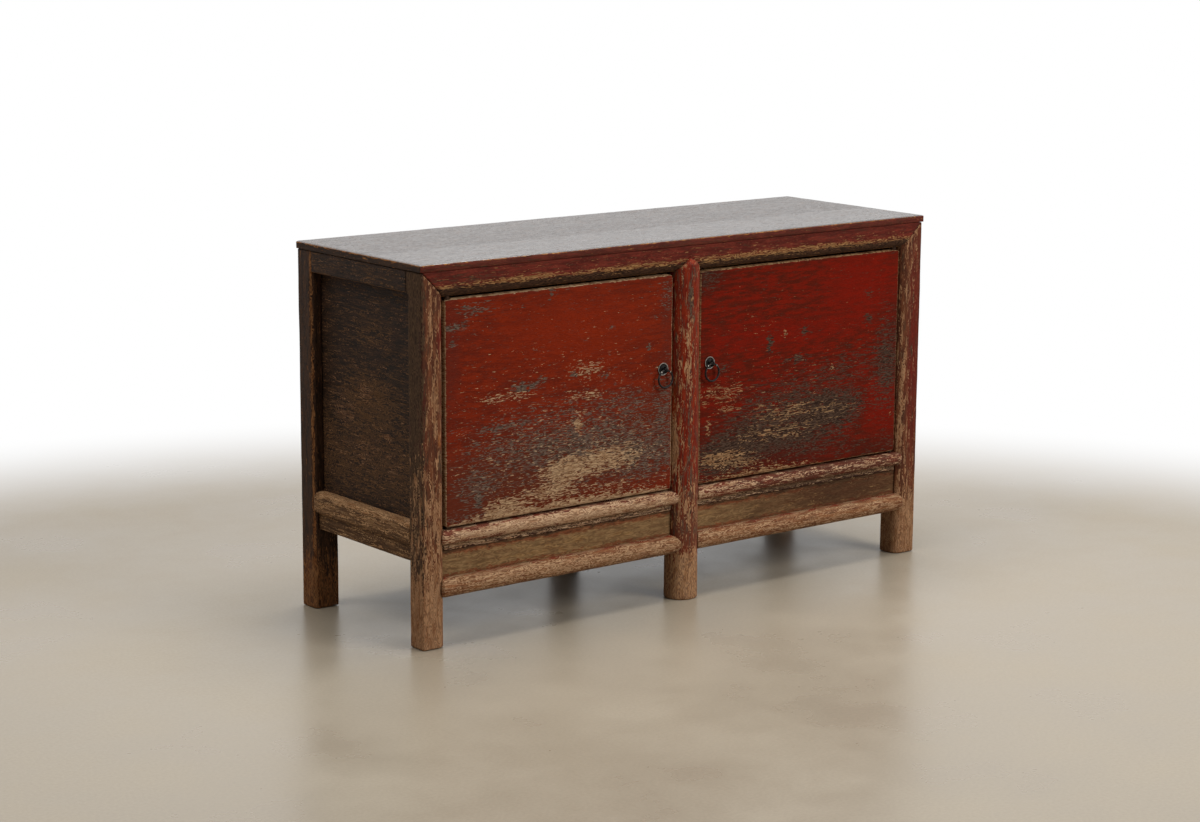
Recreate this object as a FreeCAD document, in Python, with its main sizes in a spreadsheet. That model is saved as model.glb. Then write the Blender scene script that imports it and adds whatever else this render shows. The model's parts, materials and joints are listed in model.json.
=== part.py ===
import FreeCAD, Part
import Sketcher
import os
import re

# A kang cabinet: a low two-door case of round-faced posts and rails, joined with tenons.
# Frame: +Z up, +X to the right, the doors face -Y, the feet stand on z = 0.
# The left half is modelled and the right half is its mirror image in the plane x = 0.

doc = FreeCAD.newDocument("kang_cabinet")
X_AXIS = FreeCAD.Vector(1, 0, 0)
Y_AXIS = FreeCAD.Vector(0, 1, 0)
FULL_TURN = 360
QUARTER_TURN = 90
NEAR = 1e-4
# Radius of a rail's rounded face as a share of its height: a narrow flat stays along its middle
bullnose_share = 0.49
# Height of the seam between a door's two boards as a share of its height
door_seam_share = 0.42
# Middles of a door's battens as shares of its width, from the hinge edge and from the free edge
hinge_batten_share = 0.2
pull_batten_share = 0.22

# The driving dimensions, in millimetres
SIZES = [
    # the case
    ("case_width", 1296, "over the corner posts"),
    ("case_depth", 428, "over the corner posts"),
    ("total_height", 738, "floor to the face of the top"),
    ("board_thick", 15, "thickness of the top planks"),
    ("board_over", 2, "how far the top planks pass the posts"),
    ("front_plank", 178, "width of the front top plank"),
    ("plank_ease", 2, "eased edges of the top planks"),
    ("seam_ease", 0.8, "eased edges along the seam of the top planks"),
    ("tongue_thick", 5, "tongue of the top planks, floor and panel boards"),
    ("tongue_deep", 5, "how far such a tongue reaches"),
    # posts
    ("post_width", 55, "corner post along x"),
    ("post_depth", 50, "corner post along y"),
    ("frame_round", 20, "rounding of the posts and the top rail towards the doors"),
    ("side_round", 10, "rounding of the posts towards the side panels"),
    ("ridge_ease", 3, "outer ridge of a corner post"),
    ("foot_ease", 3, "worn edge under each foot"),
    ("middle_radius", 34.5, "round middle post at the floor"),
    ("middle_top_radius", 32, "the same post under the top rail, for it tapers like its log"),
    ("middle_proud", 16, "how far the middle post stands before the frame"),
    ("head_rise", 28.5, "pointed shoulder of the middle post above the opening"),
    ("head_lap", 14, "thickness of that shoulder behind the frame's front"),
    ("head_nose", 38, "rounding of that shoulder back to the rail's face"),
    ("back_post_width", 50, "square middle post of the back, along x"),
    ("back_post_deep", 40, "the same post along y"),
    # rails
    ("top_rail_height", 51.5, "front and back top rails"),
    ("top_rail_deep", 44, "front top rail along y"),
    ("back_rail_deep", 40, "back top and lower rails along y"),
    ("mitre_lap", 12, "thickness of the mitred lap of the front top rail"),
    ("side_rail_height", 43, "side top rails"),
    ("side_rail_deep", 40, "side rails along x"),
    ("bead_round", 4, "rounded lower edge of the side top rails"),
    ("sill_height", 28.5, "round face of the sill rails"),
    ("sill_step", 12, "set-back strip below that round face"),
    ("sill_proud", 6, "how far the sill rails stand before the frame"),
    ("sill_inset", 10, "how far the strip lies behind the frame's front"),
    ("sill_back", 46, "back of the sill rails behind the frame's front"),
    ("sill_lap", 12, "nose of a sill rail over a corner post"),
    ("low_rail_low", 96.5, "underside of the bottom front rails"),
    ("low_rail_height", 39, "height of the bottom front rails"),
    ("low_rail_proud", 10, "how far the bottom rails stand before the frame"),
    ("low_rail_back", 36, "back of the bottom rails behind the frame's front"),
    ("low_rail_lap", 14, "nose of a bottom rail over a corner post"),
    ("nose_round", 8, "rounding of the noses"),
    ("flank_rail_low", 196, "underside of the side lower rails"),
    ("flank_rail_height", 46, "height of the side lower rails"),
    ("flank_rail_inset", 0.8, "how far they lie inside the posts' outer faces"),
    ("flank_rail_round", 11, "rounding of their outer face"),
    ("flank_rail_lap", 7, "end of a side lower rail over the posts' rounding"),
    ("flank_nose_round", 3, "rounding of those ends"),
    # joints
    ("tenon_thick", 14, "thickness of the tenons"),
    ("tenon_set", 14, "front cheek of the front rails' tenons behind the frame's front"),
    ("tenon_long", 28, "reach of the front and back rails' tenons"),
    ("side_tenon_long", 16, "reach of the side rails' tenons"),
    ("side_tenon_set", 6, "outer cheek of the side rails' tenons inside the rail's face"),
    ("shoulder", 8, "shoulder above and below a tenon"),
    ("middle_tenon_wide", 24, "tenon on top of a middle post"),
    ("joint_play", 0.2, "clearance round a tenon, tongue or panel"),
    # panels, floor and battens
    ("panel_thick", 12, "side, back and front panels"),
    ("panel_reach", 7, "how far a panel enters its groove"),
    ("side_panel_set", 24, "side panels inside the posts' outer faces"),
    ("back_panel_set", 16, "back panels before the posts' back faces"),
    ("front_panel_set", 14, "front panels behind the frame's front"),
    ("front_panel_high", 50.5, "front panels between the bottom rail and the sill's strip"),
    ("apron_thick", 14, "side aprons"),
    ("apron_set", 12, "side aprons inside the posts' outer faces"),
    ("apron_height", 33, "side aprons"),
    ("floor_thick", 14, "floor boards"),
    ("floor_play", 0.5, "gap round the floor boards"),
    ("bearer_wide", 40, "floor bearers"),
    ("bearer_high", 26, "floor bearers"),
    ("batten_wide", 40, "battens under the top"),
    ("batten_high", 24, "battens under the top"),
    ("batten_tenon", 12, "reach of the tenons of bearers and battens"),
    # doors
    ("door_gap", 3.5, "gap round a door"),
    ("middle_gap", 1, "door's free edge beyond the middle post's radius at the floor"),
    ("door_inset", 8, "door face behind the frame's front"),
    ("door_thick", 20, "door boards"),
    ("door_corner", 7, "rounded corners of a door"),
    ("door_ease", 4, "worn front edge of a door"),
    ("cleat_wide", 50, "dovetailed battens on a door's back"),
    ("cleat_thick", 16, "how far they stand behind the boards"),
    ("cleat_deep", 6, "how far they are let into the boards"),
    ("cleat_flare", 3, "flare of the dovetail on each side"),
    ("cleat_low", 10, "foot of a batten above the door's lower edge"),
    ("cleat_high", 30, "head of a batten below the door's upper edge"),
    ("pivot_radius", 6, "wooden pivots"),
    ("pivot_set", 10, "pivot axis inside the door's hinge edge and behind its face"),
    ("pivot_root", 35, "how far a pivot is let into the door"),
    ("pivot_rise", 10.5, "how far the upper pivot enters the top rail"),
    ("pivot_drop", 8, "how far the lower pivot enters the sill rail"),
    ("pivot_socket", 20, "depth of the upper socket"),
    ("pivot_play", 0.08, "radial clearance of a pivot in its socket"),
    ("seat_gap", 0.3, "gap between a pivot or a door and what stops it"),
    ("stop_long", 45, "door stops"),
    ("stop_thick", 14, "door stops"),
    ("stop_high", 14, "door stops"),
    # pulls
    ("pull_inset", 25.5, "pull inside the door's free edge"),
    ("pull_rise", 65.5, "pull above the seam of the door's boards"),
    ("plate_radius", 13, "iron plate"),
    ("plate_rim", 0.8, "thickness of the plate's rim"),
    ("plate_crown", 2.2, "thickness of the plate round its hole"),
    ("eye_wire", 1.6, "radius of the eye's wire"),
    ("eye_radius", 5.2, "eye, to the middle of its wire"),
    ("eye_stand", 0.3, "how far the eye's loop stands off the plate"),
    ("stem_radius", 2.8, "closed legs of the eye"),
    ("stem_play", 0.2, "clearance of the legs in plate and door"),
    ("clench_long", 11, "bent leg ends behind the door"),
    ("ring_radius", 17.75, "ring, to the middle of its wire"),
    ("ring_wire", 2.25, "radius of the ring's wire"),
    # overrun of cuts
    ("overrun", 5, "how far a cutting tool passes the piece that it cuts"),
]
sheet = doc.addObject("Spreadsheet::Sheet", "dims")
for row, (alias, length, note) in enumerate(SIZES, start=1):
    sheet.set("A%d" % row, alias)
    sheet.set("B%d" % row, str(length))
    sheet.set("C%d" % row, note)
    sheet.setAlias("B%d" % row, alias)

# Places that follow from the dimensions; each may use those above it
PLACES = [
    ("left_x", "-case_width / 2"),
    ("post_in_x", "left_x + post_width"),
    ("front_y", "(middle_proud - case_depth - board_over) / 2"),
    ("back_y", "front_y + case_depth"),
    ("side_front_y", "front_y + post_depth"),
    ("side_back_y", "back_y - post_depth"),
    ("frame_top", "total_height - board_thick"),
    ("open_top", "frame_top - top_rail_height"),
    ("middle_y", "front_y - middle_proud + middle_radius"),
    ("rail_back_y", "front_y + top_rail_deep"),
    ("back_rail_y", "back_y - back_rail_deep"),
    ("flank_rail_top", "flank_rail_low + flank_rail_height"),
    ("side_rail_low", "frame_top - side_rail_height"),
    ("low_rail_top", "low_rail_low + low_rail_height"),
    ("door_low", "low_rail_top + sill_step + sill_height + front_panel_high + door_gap"),
    ("sill_top", "door_low - door_gap"),
    ("sill_face_low", "sill_top - sill_height"),
    ("sill_low", "sill_face_low - sill_step"),
    ("door_high", "open_top - door_gap"),
    ("door_left", "post_in_x + door_gap"),
    ("door_right", "-middle_radius - middle_gap"),
    ("door_width", "door_right - door_left"),
    ("door_height", "door_high - door_low"),
    ("door_y", "front_y + door_inset"),
    ("door_back_y", "door_y + door_thick"),
    ("door_seam", "door_low + door_height * %s" % door_seam_share),
    ("pivot_x", "door_left + pivot_set"),
    ("pivot_y", "door_y + pivot_set"),
    ("pull_x", "door_right - pull_inset"),
    ("pull_z", "door_seam + pull_rise"),
    ("eye_y", "door_y - plate_crown - eye_stand - eye_wire - eye_radius"),
    ("ring_top_z", "pull_z - (eye_radius - eye_wire - ring_wire - seat_gap)"),
    ("floor_low", "sill_top - floor_thick"),
    ("floor_left", "left_x + side_rail_deep + floor_play"),
    ("bearer_x", "left_x / 2"),
    ("side_panel_x", "left_x + side_panel_set"),
    ("side_seam", "(flank_rail_top + side_rail_low) / 2"),
    ("back_panel_y", "back_y - back_panel_set - panel_thick"),
    ("back_seam", "(sill_top + open_top) / 2"),
    ("front_panel_y", "front_y + front_panel_set"),
]
DRIVING = {alias for alias, length, note in SIZES}
DERIVED = {name for name, formula in PLACES}


def linked(formula):
    """Point every named size in a formula at its cell, and every place at its property."""
    def point(match):
        word = match.group(0)
        if word in DRIVING:
            return "dims." + word
        if word in DERIVED:
            return "places." + word
        return word
    return re.sub(r"[a-z][a-z_]+", point, formula)


places = doc.addObject("App::VarSet", "places")
for name, formula in PLACES:
    places.addProperty("App::PropertyFloat", name)
    places.setExpression(name, linked(formula))
doc.recompute()


def bind(thing, **formulas):
    """Tie properties to formulas; a double underscore stands for the dot of a sub-property."""
    for prop, formula in formulas.items():
        thing.setExpression(prop.replace("__", "."), linked(formula))
    return thing


def put(thing, x, y, z):
    """Tie an object's place to three formulas."""
    return bind(thing, Placement__Base__x=x, Placement__Base__y=y, Placement__Base__z=z)


def box(name, x, y, z):
    """A box from three spans; each span is a pair of formulas, its low and its high side."""
    solid = doc.addObject("Part::Box", name)
    bind(solid, Length="(%s) - (%s)" % (x[1], x[0]), Width="(%s) - (%s)" % (y[1], y[0]),
         Height="(%s) - (%s)" % (z[1], z[0]))
    return put(solid, x[0], y[0], z[0])


def rod(name, along, start, radius, length):
    """A cylinder from its start point along x, y or z."""
    solid = doc.addObject("Part::Cylinder", name)
    if along == "x":
        solid.Placement.Rotation = FreeCAD.Rotation(Y_AXIS, QUARTER_TURN)
    if along == "y":
        solid.Placement.Rotation = FreeCAD.Rotation(X_AXIS, -QUARTER_TURN)
    bind(solid, Radius=radius, Height=length)
    return put(solid, *start)


def join(name, solids):
    solid = doc.addObject("Part::MultiFuse", name)
    solid.Shapes = solids
    solid.Refine = True
    return solid


def cut(name, base, tools):
    solid = doc.addObject("Part::Cut", name)
    solid.Base = base
    solid.Tool = tools[0] if len(tools) == 1 else join(name + "_tools", tools)
    solid.Refine = True
    return solid


def overlap(name, solids):
    solid = doc.addObject("Part::MultiCommon", name)
    solid.Shapes = solids
    solid.Refine = True
    return solid


def mirrored(name, source):
    solid = doc.addObject("Part::Mirroring", name)
    solid.Source = source
    solid.Normal = X_AXIS
    return solid


def plane_of(body, role):
    return [f for f in body.Origin.OriginFeatures if f.Role == role][0]


def outline(body, role, corners, name):
    """A closed sketch of straight lines on one origin plane; each corner is a pair of formulas."""
    sketch = body.newObject("Sketcher::SketchObject", name)
    sketch.AttachmentSupport = [(plane_of(body, role), "")]
    sketch.MapMode = "FlatFace"
    count = len(corners)
    probe = doc.addObject("App::VarSet", name + "_corners")
    for i, (x, y) in enumerate(corners):
        for letter, formula in (("u", x), ("v", y)):
            probe.addProperty("App::PropertyFloat", letter + str(i))
            probe.setExpression(letter + str(i), linked(formula))
    probe.recompute()
    at = [(getattr(probe, "u%d" % i), getattr(probe, "v%d" % i)) for i in range(count)]
    for i in range(count):
        start = FreeCAD.Vector(at[i][0], at[i][1], 0)
        end = FreeCAD.Vector(at[(i + 1) % count][0], at[(i + 1) % count][1], 0)
        sketch.addGeometry(Part.LineSegment(start, end), False)
    for i in range(count):
        sketch.addConstraint(Sketcher.Constraint("Coincident", i, 2, (i + 1) % count, 1))
    for i, (x, y) in enumerate(corners):
        for kind, axis, formula, value in (("DistanceX", -2, x, at[i][0]), ("DistanceY", -1, y, at[i][1])):
            if formula == "0":
                sketch.addConstraint(Sketcher.Constraint("PointOnObject", i, 1, axis))
            else:
                index = sketch.addConstraint(Sketcher.Constraint(kind, -1, 1, i, 1, value))
                sketch.setExpression("Constraints[%d]" % index, probe.Name + ".%s%d" % (
                    "u" if kind == "DistanceX" else "v", i))
    return sketch


def turned(name, role, corners):
    """A body turned round the upright axis of one origin plane, from half of its section."""
    body = doc.addObject("PartDesign::Body", name)
    section = outline(body, role, corners, name + "_section")
    turn = body.newObject("PartDesign::Revolution", name + "_turn")
    turn.Profile = section
    turn.ReferenceAxis = (section, ["V_Axis"])
    turn.Angle = FULL_TURN
    doc.recompute()
    return body


def padded(name, role, sketch_of, length, reversed_pad=False):
    """A body whose first feature pads one sketch."""
    body = doc.addObject("PartDesign::Body", name)
    sketch = sketch_of(body)
    pad = body.newObject("PartDesign::Pad", name + "_pad")
    pad.Profile = sketch
    pad.Reversed = reversed_pad
    bind(pad, Length=length)
    doc.recompute()
    return body


def edges_at(shape, pick):
    """Names of the edges that a pick means: 'z+x-y' the edges along z on the +x and -y sides,
    '-z' the loop of edges on the -z side."""
    low = shape.BoundBox
    side = {"+x": low.XMax, "-x": low.XMin, "+y": low.YMax, "-y": low.YMin, "+z": low.ZMax, "-z": low.ZMin}
    faces = re.findall(r"[+-][xyz]", pick)
    names = []
    for i, edge in enumerate(shape.Edges, start=1):
        middle = edge.valueAt((edge.FirstParameter + edge.LastParameter) / 2)
        points = [middle] + [v.Point for v in edge.Vertexes]
        if all(abs(getattr(p, face[1]) - side[face]) < NEAR for p in points for face in faces):
            along = max(p.distanceToPoint(points[0]) for p in points) > NEAR
            if along:
                names.append("Edge%d" % i)
    return names


def rounded(body, picks, radius):
    """Round the picked edges of a body's last shape."""
    base = body.Tip
    fillet = body.newObject("PartDesign::Fillet", body.Name + "_round")
    names = []
    for pick in picks:
        names += [n for n in edges_at(base.Shape, pick) if n not in names]
    fillet.Base = (base, names)
    bind(fillet, Radius=radius)
    doc.recompute()
    return body


def stick(name, x, y, z):
    """A squared piece of wood as a body, from three spans like a box, ready for rounding."""
    width = "(%s) - (%s)" % (x[1], x[0])
    depth = "(%s) - (%s)" % (y[1], y[0])
    corners = [("0", "0"), (width, "0"), (width, depth), ("0", depth)]
    body = padded(name, "XY_Plane", lambda b: outline(b, "XY_Plane", corners, name + "_section"),
                  "(%s) - (%s)" % (z[1], z[0]))
    return put(body, x[0], y[0], z[0])


nodes = []


def piece(label, solid):
    """Name a finished piece."""
    solid.Label = label
    nodes.append(solid)
    return solid


def pair(side_name, solid):
    """Name a finished left piece and make the right one as its mirror image."""
    piece(side_name % "left", solid)
    return piece(side_name % "right", mirrored(solid.Name + "_other", solid))


def grown(span, play="joint_play"):
    """A span widened by a clearance at both ends."""
    return ("%s - %s" % (span[0], play), "%s + %s" % (span[1], play))


# The corner posts, as blanks: the rails are coped to these shapes. The rounding towards the side panel stops
# under the side top rail, where the post stays square so that the rail butts against it.
square_x = ("left_x", "left_x + side_round")
square_z = ("side_rail_low", "frame_top")
front_post_round = stick("front_post_round", ("left_x", "post_in_x"), ("front_y", "side_front_y"),
                         ("0", "frame_top"))
rounded(front_post_round, ["z+x-y"], "frame_round")
rounded(front_post_round, ["z-x+y"], "side_round")
rounded(front_post_round, ["z-x-y"], "ridge_ease")
rounded(front_post_round, ["-z"], "foot_ease")
front_square = box("front_square", square_x, ("side_front_y - side_round", "side_front_y"), square_z)
front_post = join("front_post_blank", [front_post_round, front_square])
back_post_round = stick("back_post_round", ("left_x", "post_in_x"), ("side_back_y", "back_y"), ("0", "frame_top"))
rounded(back_post_round, ["z-x-y"], "side_round")
rounded(back_post_round, ["z-x+y"], "ridge_ease")
rounded(back_post_round, ["-z"], "foot_ease")
back_square = box("back_square", square_x, ("side_back_y", "side_back_y + side_round"), square_z)
back_post = join("back_post_blank", [back_post_round, back_square])

# The round middle post of the front, up to the opening's head, a little thicker at the floor
shaft_corners = [("0", "0"), ("middle_radius", "0"), ("middle_top_radius", "open_top"), ("0", "open_top")]
middle_shaft = turned("middle_shaft", "XZ_Plane", shaft_corners)
rounded(middle_shaft, ["-z"], "foot_ease")
put(middle_shaft, "0", "middle_y", "0")

# Its pointed shoulder: the round section, cut to a point by two planes and rounded back to the rail's face
head_long = rod("head_long", "z", ("0", "middle_y", "open_top"), "middle_top_radius", "head_rise + overrun")
head_corners = [("0", "0"), ("2 * middle_top_radius", "0"), ("middle_top_radius", "head_rise")]
head_point = padded("head_point", "XZ_Plane", lambda b: outline(b, "XZ_Plane", head_corners, "head_triangle"),
                    "head_lap + middle_proud + overrun")
put(head_point, "-middle_top_radius", "front_y + head_lap", "open_top")
head_barrel = rod("head_barrel", "x", ("-middle_radius - overrun", "front_y - middle_proud + head_nose", "open_top"),
                  "head_nose", "2 * (middle_radius + overrun)")
middle_head = overlap("middle_head", [head_long, head_point, head_barrel])
middle_tenon_x = ("-middle_tenon_wide / 2", "middle_tenon_wide / 2")
middle_tenon_y = ("front_y + head_lap + shoulder", "front_y + head_lap + shoulder + tenon_thick")
middle_tenon = box("middle_tenon", middle_tenon_x, middle_tenon_y, ("open_top - overrun", "open_top + tenon_long"))

# The mitre plane of the front top rail: it runs at 45 degrees from the opening's corner to the case's corner
mitre_span = "top_rail_height + board_thick"
mitre_corners = [(mitre_span, "0"), (mitre_span, mitre_span), ("0", mitre_span)]
left_mitre = padded("left_mitre", "XZ_Plane", lambda b: outline(b, "XZ_Plane", mitre_corners, "mitre_triangle"),
                    "mitre_lap + overrun")
put(left_mitre, "post_in_x - (%s)" % mitre_span, "front_y + mitre_lap", "open_top")

# Front top rail: a bar with a rounded lower edge, mitred laps, tenons behind them
lap_bar = stick("top_rail_bar", ("left_x", "-left_x"), ("front_y", "rail_back_y"), ("open_top", "frame_top"))
rounded(lap_bar, ["x-y-z"], "frame_round")
rounded(lap_bar, ["z-x-y", "z+x-y"], "ridge_ease")
between_posts = box("between_posts", ("post_in_x", "-post_in_x"), ("front_y - overrun", "rail_back_y + overrun"),
                    ("open_top - overrun", "frame_top + overrun"))
left_lap = overlap("left_lap", [lap_bar, left_mitre])
right_lap = mirrored("right_lap", left_lap)
rail_core = overlap("rail_core", [lap_bar, between_posts])
front_tenon_y = ("front_y + tenon_set", "front_y + tenon_set + tenon_thick")
top_tenon_z = ("open_top + shoulder", "frame_top - shoulder")
tenon_x = ("post_in_x - tenon_long", "post_in_x + overrun")
mortise_x = ("post_in_x - tenon_long - joint_play", "post_in_x + overrun")
left_top_tenon = box("left_top_tenon", tenon_x, front_tenon_y, top_tenon_z)
right_top_tenon = mirrored("right_top_tenon", left_top_tenon)
rail_solid = join("rail_solid", [rail_core, left_lap, right_lap, left_top_tenon, right_top_tenon])

# What is let into the front top rail
middle_mortise = box("middle_mortise", grown(middle_tenon_x), grown(middle_tenon_y),
                     ("open_top - overrun", "open_top + tenon_long + joint_play"))
socket_start = ("pivot_x", "pivot_y", "open_top - overrun")
left_socket = rod("left_socket", "z", socket_start, "pivot_radius + pivot_play", "pivot_socket + overrun")
right_socket = mirrored("right_socket", left_socket)
batten_x = ("bearer_x - batten_wide / 2", "bearer_x + batten_wide / 2")
batten_tenon_x = ("bearer_x - batten_wide / 2 + shoulder", "bearer_x + batten_wide / 2 - shoulder")
batten_z = ("frame_top - batten_high", "frame_top")
batten_tenon_z = ("frame_top - batten_high + shoulder / 2", "frame_top - shoulder / 2")
left_batten_slot = box("left_batten_slot", grown(batten_tenon_x),
                       ("rail_back_y - batten_tenon - joint_play", "rail_back_y + overrun"), grown(batten_tenon_z))
right_batten_slot = mirrored("right_batten_slot", left_batten_slot)
piece("front_top_rail", cut("front_top_rail", rail_solid, [
    middle_head, middle_mortise, left_socket, right_socket, left_batten_slot, right_batten_slot]))

# Sill rail: round face in front, squared behind, a set-back strip below, a nose over the corner post
bay_x = ("post_in_x - sill_lap", "-middle_radius / 2")
sill_round = stick("sill_round", bay_x, ("front_y - sill_proud", "front_y + sill_back"), ("sill_face_low", "sill_top"))
rounded(sill_round, ["x-y-z", "x-y+z"], "sill_height * %s" % bullnose_share)
rounded(sill_round, ["-x"], "nose_round")
sill_strip = box("sill_strip", ("post_in_x", "-middle_radius / 2"), ("front_y + sill_inset", "front_y + sill_back"),
                 ("sill_low", "sill_face_low + sill_height / 2"))
sill_bar = cut("sill_bar", join("sill_whole", [sill_round, sill_strip]), [front_post, middle_shaft])
sill_tenon_z = ("sill_low + shoulder", "sill_top - shoulder")
sill_tenon = box("sill_tenon", tenon_x, front_tenon_y, sill_tenon_z)
inner_tenon_x = ("-middle_radius - overrun", "-middle_radius / 2")
inner_mortise_x = ("-middle_radius - overrun", "-middle_radius / 2 + joint_play")
sill_inner_tenon = box("sill_inner_tenon", inner_tenon_x, front_tenon_y, sill_tenon_z)
sill_solid = join("sill_solid", [sill_bar, sill_tenon, sill_inner_tenon])
front_panel_x = ("post_in_x - panel_reach", "-middle_radius + panel_reach")
front_panel_y = ("front_panel_y", "front_panel_y + panel_thick")
front_panel_z = ("low_rail_top - panel_reach", "sill_low + panel_reach")
front_groove = box("front_groove", grown(front_panel_x), grown(front_panel_y), grown(front_panel_z))
lower_socket = rod("lower_socket", "z", ("pivot_x", "pivot_y", "sill_top - pivot_drop - seat_gap"),
                   "pivot_radius + pivot_play", "pivot_drop + seat_gap + overrun")
bearer_tenon_x = ("bearer_x - bearer_wide / 2 + shoulder", "bearer_x + bearer_wide / 2 - shoulder")
bearer_tenon_z = ("floor_low - bearer_high + shoulder / 2", "floor_low - shoulder / 2")
sill_bearer_slot = box("sill_bearer_slot", grown(bearer_tenon_x),
                       ("front_y + sill_back - batten_tenon - joint_play", "front_y + sill_back + overrun"),
                       grown(bearer_tenon_z))
pair("%s_sill_rail", cut("sill_rail", sill_solid, [front_groove, lower_socket, sill_bearer_slot]))

# Bottom front rail: a full round face, with a nose over the corner post
low_bay_x = ("post_in_x - low_rail_lap", "-middle_radius / 2")
low_round = stick("low_round", low_bay_x, ("front_y - low_rail_proud", "front_y + low_rail_back"),
                  ("low_rail_low", "low_rail_top"))
rounded(low_round, ["x-y-z", "x-y+z"], "low_rail_height * %s" % bullnose_share)
rounded(low_round, ["-x"], "nose_round")
low_bar = cut("low_bar", low_round, [front_post, middle_shaft])
low_tenon_z = ("low_rail_low + shoulder", "low_rail_top - shoulder")
low_tenon = box("low_tenon", tenon_x, front_tenon_y, low_tenon_z)
low_inner_tenon = box("low_inner_tenon", inner_tenon_x, front_tenon_y, low_tenon_z)
low_solid = join("low_solid", [low_bar, low_tenon, low_inner_tenon])
pair("%s_bottom_rail", cut("bottom_rail", low_solid, [front_groove]))

# Front panel in its grooves
pair("%s_front_panel", box("front_panel", front_panel_x, front_panel_y, front_panel_z))

# Middle post: shaft, pointed shoulder and tenon, with mortises for the rails of both bays
post_solid = join("post_solid", [middle_shaft, middle_head, middle_tenon])
low_mortise = box("low_mortise", inner_mortise_x, grown(front_tenon_y), grown(low_tenon_z))
sill_mortise = box("sill_mortise", inner_mortise_x, grown(front_tenon_y), grown(sill_tenon_z))
middle_cuts = [low_mortise, sill_mortise, front_groove]
middle_cuts += [mirrored(tool.Name + "_other", tool) for tool in middle_cuts]
piece("front_middle_post", cut("front_middle_post", post_solid, middle_cuts))

# Side top rail, flush between the posts
side_y = ("side_front_y", "side_back_y")
side_rail_x = ("left_x", "left_x + side_rail_deep")
side_bar = stick("side_bar", side_rail_x, side_y, ("side_rail_low", "frame_top"))
rounded(side_bar, ["y-x-z"], "bead_round")
side_tenon_x = ("left_x + side_tenon_set", "left_x + side_tenon_set + tenon_thick")
side_tenon_y = ("side_front_y - side_tenon_long", "side_back_y + side_tenon_long")
side_top_tenon_z = ("side_rail_low + shoulder", "frame_top - shoulder")
side_top_tenon = box("side_top_tenon", side_tenon_x, side_tenon_y, side_top_tenon_z)
side_panel_x = ("side_panel_x", "side_panel_x + panel_thick")
side_panel_y = ("side_front_y - panel_reach", "side_back_y + panel_reach")
side_panel_z = ("flank_rail_top - panel_reach", "side_rail_low + panel_reach")
side_groove = box("side_groove", grown(side_panel_x), grown(side_panel_y), grown(side_panel_z))
pair("%s_side_top_rail", cut("side_top_rail", join("side_top_solid", [side_bar, side_top_tenon]), [side_groove]))

# Side lower rail, with a rounded face and a nose over each post
flank_x = ("left_x + flank_rail_inset", "left_x + side_rail_deep")
flank_y = ("side_front_y - flank_rail_lap", "side_back_y + flank_rail_lap")
flank_bar = stick("flank_bar", flank_x, flank_y, ("flank_rail_low", "flank_rail_top"))
rounded(flank_bar, ["y-x-z", "y-x+z"], "flank_rail_round")
rounded(flank_bar, ["-y", "+y"], "flank_nose_round")
flank_coped = cut("flank_coped", flank_bar, [front_post, back_post])
flank_tenon_z = ("flank_rail_low + shoulder", "flank_rail_top - shoulder")
flank_tenon = box("flank_tenon", side_tenon_x, side_tenon_y, flank_tenon_z)
flank_solid = join("flank_solid", [flank_coped, flank_tenon])
pair("%s_side_lower_rail", cut("side_lower_rail", flank_solid, [side_groove]))

# Side apron, housed in both posts
apron_x = ("left_x + apron_set", "left_x + apron_set + apron_thick")
apron_z = ("flank_rail_low - apron_height", "flank_rail_low")
pair("%s_side_apron", box("side_apron", apron_x, side_panel_y, apron_z))
apron_groove = box("apron_groove", grown(apron_x), grown(side_panel_y), grown(apron_z))

# Side panel of two boards with a tongue and groove
tongue_x = ("side_panel_x + (panel_thick - tongue_thick) / 2", "side_panel_x + (panel_thick + tongue_thick) / 2")
side_low_board = box("side_low_board", side_panel_x, side_panel_y, (side_panel_z[0], "side_seam"))
side_tongue = box("side_tongue", tongue_x, side_panel_y, ("side_seam - overrun", "side_seam + tongue_deep"))
pair("%s_side_lower_board", join("side_lower_board", [side_low_board, side_tongue]))
side_high_board = box("side_high_board", side_panel_x, side_panel_y, ("side_seam", side_panel_z[1]))
side_tongue_slot = box("side_tongue_slot", grown(tongue_x), grown(side_panel_y),
                       ("side_seam - overrun", "side_seam + tongue_deep + joint_play"))
pair("%s_side_upper_board", cut("side_upper_board", side_high_board, [side_tongue_slot]))

# Back rails, back middle post and back panels
back_tenon_y = ("back_rail_y + shoulder", "back_rail_y + shoulder + tenon_thick")
back_panel_y = ("back_panel_y", "back_panel_y + panel_thick")
back_panel_x = ("post_in_x - panel_reach", "-back_post_width / 2 + panel_reach")
back_panel_z = ("sill_top - panel_reach", "open_top + panel_reach")
back_groove = box("back_groove", grown(back_panel_x), grown(back_panel_y), grown(back_panel_z))
back_groove_other = mirrored("back_groove_other", back_groove)
back_top_bar = box("back_top_bar", ("post_in_x", "-post_in_x"), ("back_rail_y", "back_y"), ("open_top", "frame_top"))
back_top_tenon = box("back_top_tenon", ("post_in_x - tenon_long", "-post_in_x + tenon_long"), back_tenon_y,
                     top_tenon_z)
back_middle_y = ("back_rail_y", "back_rail_y + back_post_deep")
back_middle_tenon_z = ("open_top - overrun", "open_top + tenon_long")
back_middle_tenon = box("back_middle_tenon", middle_tenon_x, back_tenon_y, back_middle_tenon_z)
back_middle_mortise = box("back_middle_mortise", grown(middle_tenon_x), grown(back_tenon_y),
                          grown(back_middle_tenon_z))
back_batten_slot = box("back_batten_slot", grown(batten_tenon_x),
                       ("back_rail_y - overrun", "back_rail_y + batten_tenon + joint_play"), grown(batten_tenon_z))
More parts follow.
